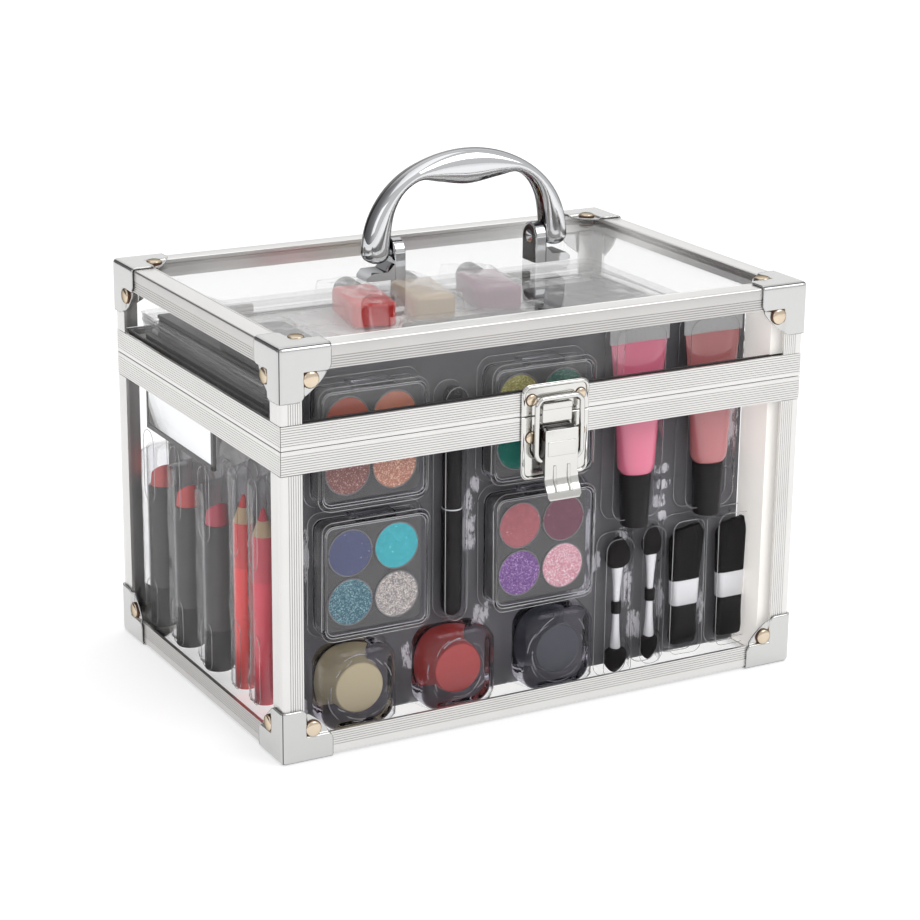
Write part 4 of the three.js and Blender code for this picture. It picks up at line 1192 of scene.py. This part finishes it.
card_low, card_high = box("front_tray")
card_half_x, card_half_z = (card_high.x - card_low.x) / 2 - 2, (card_high.z - card_low.z) / 2
card_x, card_z = (card_low.x + card_high.x) / 2 - 2, (card_low.z + card_high.z) / 2
piece("front_card", [
    (front(block(card_half_x, card_half_z, -0.7, 0, 2, 0.2), card_x, card_z), GREY_CARD),
    (front(block(card_half_x, card_half_z, -1.2, -0.6, 2, 0.2), card_x, card_z), CREAM_CARD),
], "base", ["front_tray"], smooth=40)
FRONT_ITEMS = [(x, z, 23, 24, 13.2, 5) for _, x, z, _ in PALETTES]
FRONT_ITEMS += [(x, POT_Z, 16, 17, 15.8, 9) for _, x, _ in POTS]
FRONT_ITEMS += [(x, 120, 14.6, 34.5, 4.5, 3) for x in TUBE_PLACES] + [(x, 104, 9, 22, 14.0, 6) for x in TUBE_PLACES]
FRONT_ITEMS += [(x, 80, 8, 13, 14.4, 5) for x in TUBE_PLACES]
for x, drop, half in APPLICATORS:
    FRONT_ITEMS += [(x, 58.5 + drop, half, 8, 8.5, 4.5), (x, 35 + drop, 2.2, 22, 8.2, 3), (x, 11.5 + drop, half - 0.3, 7, 8.5, 4.5)]
for x, _ in BRUSHES:
    FRONT_ITEMS += [(x, 50, 8.2, 14, 9.2, 4), (x, 24, 6.6, 15, 9.0, 3)]
FRONT_ITEMS += [(-36, 90, 4.3, 48, 10.6, 5.5)]
film("front_blister", FRONT_ITEMS, front, (-103, 109), (5.4, 157.5), 1.1, 0.6, 2.2, 3.2, 0.35, FILM, 3)


def fold_highlights(name, items, transform, margin):
    """Painted highlights along the sharp folds of a blister: one round the foot of each bump and one round its top."""
    parts = []
    for u, v, half_u, half_v, depth, corner in items:
        for grow, w, thick in ((margin, 1.0, 0.2), (margin - 1.2, depth * 0.92, 0.15)):
            outline = rounded(half_u + grow, half_v + grow, max(corner + grow * 0.5, 1.0), 8)
            path = []
            for x, y in outline:
                wobble = 0.5 * noise.noise(Vector(((u + x) * 0.13, (v + y) * 0.13, depth)))
                path.append((u + x + wobble, v + y + wobble, w))
            parts.append((transform(tube(path, thick, 6, closed=True)), PAINTED_HIGHLIGHT))
    piece(name, parts, "base", smooth=60)


FRONT_FOLD_HIGHLIGHTS = [(x, z, 23, 24, 12.6, 5) for _, x, z, _ in PALETTES]
FRONT_FOLD_HIGHLIGHTS += [(x, 112, 11, 40, 9, 5) for x in TUBE_PLACES] + [(x, 36, 7.4, 29, 8.6, 4) for x, _ in BRUSHES]
FRONT_FOLD_HIGHLIGHTS += [(x, 35 + drop, half, 30, 8.0, 4.5) for x, drop, half in APPLICATORS] + [(-36, 90, 4.3, 48, 10, 5)]
fold_highlights("front_blister_fold_highlights", FRONT_FOLD_HIGHLIGHTS, front, 2.0)
film("front_header_film", [(0, 160, 110, 6, 0, 4)], front, (-101, 37), (131, 157.5), 1.4, 15.8, 1.0, 4.0, 1.2, HAZY, 9)
# the return glows: painted light
wall_strip = block(3.2, card_half_z, 0.3, 18.8, 0.6, 0.2)
piece("front_card_return", [(front(wall_strip, card_high.x - 0.8, card_z), RETURN_CARD_GLOW)],
      "base", smooth=40)

left_low, left_high = box("left_tray")
left_half, left_middle = (left_high.y - left_low.y) / 2, (left_high.y + left_low.y) / 2
left_half_z, left_z = (left_high.z - left_low.z) / 2, (left_low.z + left_high.z) / 2
piece("left_card", [
    (left(block(left_half, left_half_z, -0.7, 0, 2, 0.2), left_middle, left_z), SIDE_CARD),
    (left(block(left_half, left_half_z, -1.2, -0.6, 2, 0.2), left_middle, left_z), CREAM_CARD),
], "base", ["left_tray"], smooth=40)
LEFT_ITEMS = [(-y, 47, 6.6, 40, 13.4, 6) for _, y, _, _ in CRAYONS] + [(-y, 53, 5.0, 48, 10.2, 5) for _, y, _ in PENCILS]
film("left_blister", LEFT_ITEMS, left, (-left_high.y + 1, -left_low.y - 1), (5.4, 117), 1.1, 0.5, 1.2,
     2.6, 0.4, FILM, 8)
LEFT_FOLD_HIGHLIGHTS = [(-y, 78, 5.6, 16, 13.2, 5) for _, y, _, _ in CRAYONS] + [(-y, 16, 5.6, 10, 13.2, 4) for _, y, _, _ in CRAYONS]
LEFT_FOLD_HIGHLIGHTS += [(-y, 82, 4.0, 19, 10.4, 4) for _, y, _ in PENCILS] + [(-y, 20, 4.4, 15, 10.2, 4) for _, y, _ in PENCILS]
fold_highlights("left_blister_fold_highlights", LEFT_FOLD_HIGHLIGHTS, left, 1.2)


# ---------------------------------------------------------------- mirror
mirror_low, mirror_high = box("mirror")
mirror_half = (mirror_high.y - mirror_low.y) / 2
mirror_tall = (mirror_high.z - mirror_low.z) / 2
mirror_middle = ((mirror_low.y + mirror_high.y) / 2, (mirror_low.z + mirror_high.z) / 2)


def on_mirror(shape):
    return mapped(shape, OUT_LEFT, (mirror_high.x, mirror_middle[0], mirror_middle[1]))


glass = on_mirror(block(mirror_half - 1.6, mirror_tall - 1.4, 0.2, 1.3, 0.6, 0.25))
rim = joined(*[
    on_mirror(moved(block(half_u, half_v, 0, 1.5, 0.4, 0.2), u, v)) for u, v, half_u, half_v in (
        (0, -mirror_tall + 1.1, mirror_half, 1.1), (0, mirror_tall - 0.7, mirror_half, 0.7),
        (mirror_half - 1.2, 0, 1.2, mirror_tall), (-mirror_half + 0.7, 0, 0.7, mirror_tall),
    )
])
piece("mirror_plate", [(glass, MIRROR), (rim, GAP_SHADE_AND_MIRROR_RIM)], "base", ["mirror"], smooth=40)


# ---------------------------------------------------------------- top tray
tray_low, tray_high = box("top_tray")


def flat_block(half_x, half_y, low, high, radius, edge, x, y, turn=0.0):
    shape = mapped(block(half_x, half_y, low, high, radius, edge, 6, 4), Matrix.Rotation(math.radians(turn), 3, "Z"))
    return moved(shape, x, y, 0)


tray_x, tray_y = (tray_low.x + tray_high.x) / 2, (tray_low.y + tray_high.y) / 2
half_x, half_y = (tray_high.x - tray_low.x) / 2, (tray_high.y - tray_low.y) / 2
floor_sheet = flat_block(half_x - 4, half_y - 3, tray_low.z, tray_low.z + 1.2, 3, 0.3, tray_x, tray_y)
rims = []
for level, (grow, wide) in enumerate(((0, 1.6), (-2.2, 1.0), (-4.0, 0.8))):
    z = tray_high.z - 3 - 2.4 * level
    outline = rounded(half_x + grow - 1.2, half_y + grow - 1.2, 4, 8)
    rims.append(moved(tube([(x, y, z) for x, y in outline], wide * 0.8, 8, closed=True), tray_x, tray_y, 0))
wall_rings = [
    [(x, y, z) for x, y in rounded(half_x + grow, half_y + grow, 4, 8)]
    for grow, z in ((-1, tray_low.z), (-0.4, tray_high.z - 0.6), (0, tray_high.z), (-0.9, tray_high.z), (-1.6, tray_low.z + 1))
]
walls = moved(outward(loft(wall_rings + wall_rings[:1], caps=False)), tray_x, tray_y, 0)
piece("top_tray_moulding", [(floor_sheet, TRAY_WHITE), (walls, TRAY_CLEAR)] + [(r, TRAY_CLEAR) for r in rims],
      "base", ["top_tray"], smooth=40)

STACK_LAYERS = 5
STACK_PITCH = 1.9
# Two copies of one stack material: a darker one, painted shade, for the layered sides and the slab under the tray
# floor, and a lighter one for the tops.
STACK_SIDE_SHADE = surface("Stack sides, painted shade", rgb(52, 50, 50), 0.35, 0.0, 0.1, 200, 0.1, extra=DULL)
STACK_TOP = surface("Stack top", rgb(96, 95, 96), 0.5, 0.0, 0.08, 60, 0.1)
BOTTLE_TURN = -10
BOTTLES = [("coral", -20, 45, (255, 48, 42)), ("champagne", 8.5, 45, (204, 170, 116)), ("mauve", 42, 46, (158, 96, 124))]
for name, x, y, colour in BOTTLES:
    glass_block = flat_block(9.8, 18, tray_low.z + 1.6, tray_low.z + 13, 3, 2.0, x, y, BOTTLE_TURN)
    liquid = flat_block(9.2, 17.2, tray_low.z + 2.4, tray_low.z + 12.4, 2.6, 1.8, x, y, BOTTLE_TURN)
    cap = mapped(lathe([(0, 0), (5.6, 0), (6.0, 0.5), (5.8, 9.8), (5.2, 10.6), (0, 10.8)], 40),
                 Matrix(((1, 0, 0), (0, 0, 1), (0, -1, 0))), (0, 18.2, 0))
    cap = mapped(cap, Matrix.Rotation(math.radians(BOTTLE_TURN), 3, "Z"), (x, y, tray_low.z + 8.2))
    piece(f"polish_{name}_glass", [(glass_block, LID_CLEAR)], "base", smooth=70)
    parts = [(liquid, glossy(f"Polish {name}", rgb(*colour), 0.3, 0.4)), (outward(cap), SOFT_BLACK)]
    piece(f"polish_{name}", parts, "base", smooth=60)
stack = []
for layer in range(STACK_LAYERS):
    low = tray_low.z + 1.4 + STACK_PITCH * layer
    inset = 0.4 * (layer % 2)
    slab = flat_block(7 - inset, 54 - inset, low, low + STACK_PITCH - 0.25, 1.2, 0.4, -103, 5)
    stack.append((slab, STACK_SIDE_SHADE))
stack.append((flat_block(6.4, 22, tray_low.z + 10.9, tray_low.z + 16.4, 2, 0.6, -103, -26), STACK_SIDE_SHADE))
stack.append((flat_block(6.6, 60, tray_low.z - 6.5, tray_low.z - 0.3, 1.2, 0.4, -104, 11), STACK_SIDE_SHADE))
stack.append((flat_block(17, 46, tray_low.z + 1.4, tray_low.z + 5.4, 4, 1.2, -75, 0), STACK_TOP))
stack.append((flat_block(34, 8, tray_low.z + 1.4, tray_low.z + 5.0, 3, 1.2, 18, 12), PALETTE_GREY))
stack.append((flat_block(22, 34, tray_low.z + 1.4, tray_low.z + 6.4, 4, 1.2, 80, 12), STACK_TOP))
piece("tray_palettes", stack, "base", smooth=50)
TOP_ITEMS = [(x, y + 4, 11, 26, 12.4, 6) for _, x, y, _ in BOTTLES] + [(-89, 8, 5, 54, 14.5, 5), (-75, 0, 18, 47, 6, 6)]
TOP_ITEMS += [(80, 10, 23, 40, 7.5, 8), (18, 12, 35, 9, 6, 5)]
film("top_blister", TOP_ITEMS, moved, (-95.5, tray_high.x - 1.5), (tray_low.y + 1.5, tray_high.y - 1.5),
     1.4, tray_low.z + 1.6, 1.5, 3.0, 1.1, CREASED, 5)


# ---------------------------------------------------------------- floor, light and camera
def floor_material():
    material, tree = blank("Pale floor")
    cloud = noise_at(tree, 3)
    shader = add(tree, "ShaderNodeBsdfPrincipled", {
        "Base Color": ramp(tree, cloud, [(0.3, (0.56, 0.56, 0.56, 1)), (0.7, (0.58, 0.58, 0.58, 1))]), "Roughness": 0.9,
        "Emission Color": (1, 1, 1, 1), "Emission Strength": 0.64,
    })
    finish_material(tree, shader.outputs["BSDF"])
    return material


span = 5000.0
floor_mesh = bpy.data.meshes.new("Floor")
floor_mesh.from_pydata([place(p) for p in ((-span, -span, 0), (span, -span, 0), (span, span, 0), (-span, span, 0))],
                       [], [(0, 1, 2, 3)])
floor_mesh.materials.append(floor_material())
floor = bpy.data.objects.new("Floor", floor_mesh)
bpy.context.scene.collection.objects.link(floor)


def studio_world():
    """A white room that is darker behind and to the left, so that metal shows its shape."""
    world = bpy.data.worlds.new("Studio")
    world.use_nodes = True
    tree = world.node_tree
    tree.nodes.clear()
    where = add(tree, "ShaderNodeTexCoord").outputs["Generated"]
    toward = Vector((0.42, -0.72, 0.55)).normalized()
    lit = add(tree, "ShaderNodeVectorMath", {0: where, 1: toward}, operation="DOT_PRODUCT").outputs["Value"]
    level = add(tree, "ShaderNodeMapRange", {
        "Value": lit, "From Min": -1.0, "From Max": 1.0, "To Min": 0.0, "To Max": 1.0,
    }).outputs["Result"]
    grey = ramp(tree, level, [
        (0.0, (0.07, 0.07, 0.073, 1)), (0.32, (0.21, 0.21, 0.217, 1)), (0.5, (0.43, 0.43, 0.44, 1)),
        (0.7, (0.66, 0.66, 0.66, 1)), (1.0, (0.7, 0.7, 0.7, 1)),
    ])
    backdrop = Vector((0.46, 0.83, 0.32)).normalized()
    behind = add(tree, "ShaderNodeVectorMath", {0: where, 1: backdrop}, operation="DOT_PRODUCT").outputs["Value"]
    share = add(tree, "ShaderNodeMapRange", {
        "Value": behind, "From Min": 0.7, "From Max": 0.93, "To Min": 0.0, "To Max": 1.0,
    }, interpolation_type="SMOOTHSTEP").outputs["Result"]
    mixed_grey = add(tree, "ShaderNodeMix", {"Factor": share, "A": grey, "B": (1, 1, 1, 1)}, data_type="RGBA")
    grey = [s for s in mixed_grey.outputs if s.enabled][0]
    studio = add(tree, "ShaderNodeBackground", {"Color": grey, "Strength": 1.06}).outputs[0]
    plain = add(tree, "ShaderNodeBackground", {"Color": (1, 1, 1, 1), "Strength": 1.0}).outputs[0]
    seen = add(tree, "ShaderNodeLightPath").outputs["Is Camera Ray"]
    mixed = add(tree, "ShaderNodeMixShader", {0: seen, 1: studio, 2: plain}).outputs[0]
    add(tree, "ShaderNodeOutputWorld", {"Surface": mixed})
    bpy.context.scene.world = world


def lamp(name, at, aim, size, power):
    data = bpy.data.lights.new(name, "AREA")
    data.shape, data.size, data.energy = "SQUARE", size, power
    thing = bpy.data.objects.new(name, data)
    bpy.context.scene.collection.objects.link(thing)
    thing.location = at
    thing.rotation_euler = (Vector(aim) - Vector(at)).to_track_quat("-Z", "Y").to_euler()


studio_world()
lamp("Key", (0.7, -1.1, 1.3), (0, 0, 0.08), 1.1, 9)
lamp("Top", (-0.2, 0.2, 1.6), (0, 0, 0.1), 1.4, 4)
lamp("Fill", (-1.4, -0.7, 0.8), (0, 0, 0.08), 0.9, 2)

CAMERA_AZIMUTH = -0.5063
CAMERA_ELEVATION = 0.3054
CAMERA_ROLL = 0.0111
CAMERA_DISTANCE = 1120.4
CAMERA_TARGET = (14.2, 19.9, 77.0)


def camera():
    back = Vector((
        math.sin(CAMERA_AZIMUTH) * math.cos(CAMERA_ELEVATION), -math.cos(CAMERA_AZIMUTH) * math.cos(CAMERA_ELEVATION),
        math.sin(CAMERA_ELEVATION),
    ))
    right = Vector((0, 0, 1)).cross(back).normalized()
    up = back.cross(right)
    c, s = math.cos(CAMERA_ROLL), math.sin(CAMERA_ROLL)
    right, up = c * right + s * up, c * up - s * right
    data = bpy.data.cameras.new("Camera")
    data.lens, data.sensor_width = 100.5, 36.0
    thing = bpy.data.objects.new("Camera", data)
    bpy.context.scene.collection.objects.link(thing)
    turn = Matrix((right, up, back)).transposed().to_4x4()
    thing.matrix_world = Matrix.Translation(place(CAMERA_TARGET) + back * CAMERA_DISTANCE * MM) @ turn
    bpy.context.scene.camera = thing


camera()
scene = bpy.context.scene
scene.view_settings.view_transform = "Standard"
scene.cycles.transparent_max_bounces = 32
scene.cycles.caustics_reflective = False
scene.cycles.caustics_refractive = False
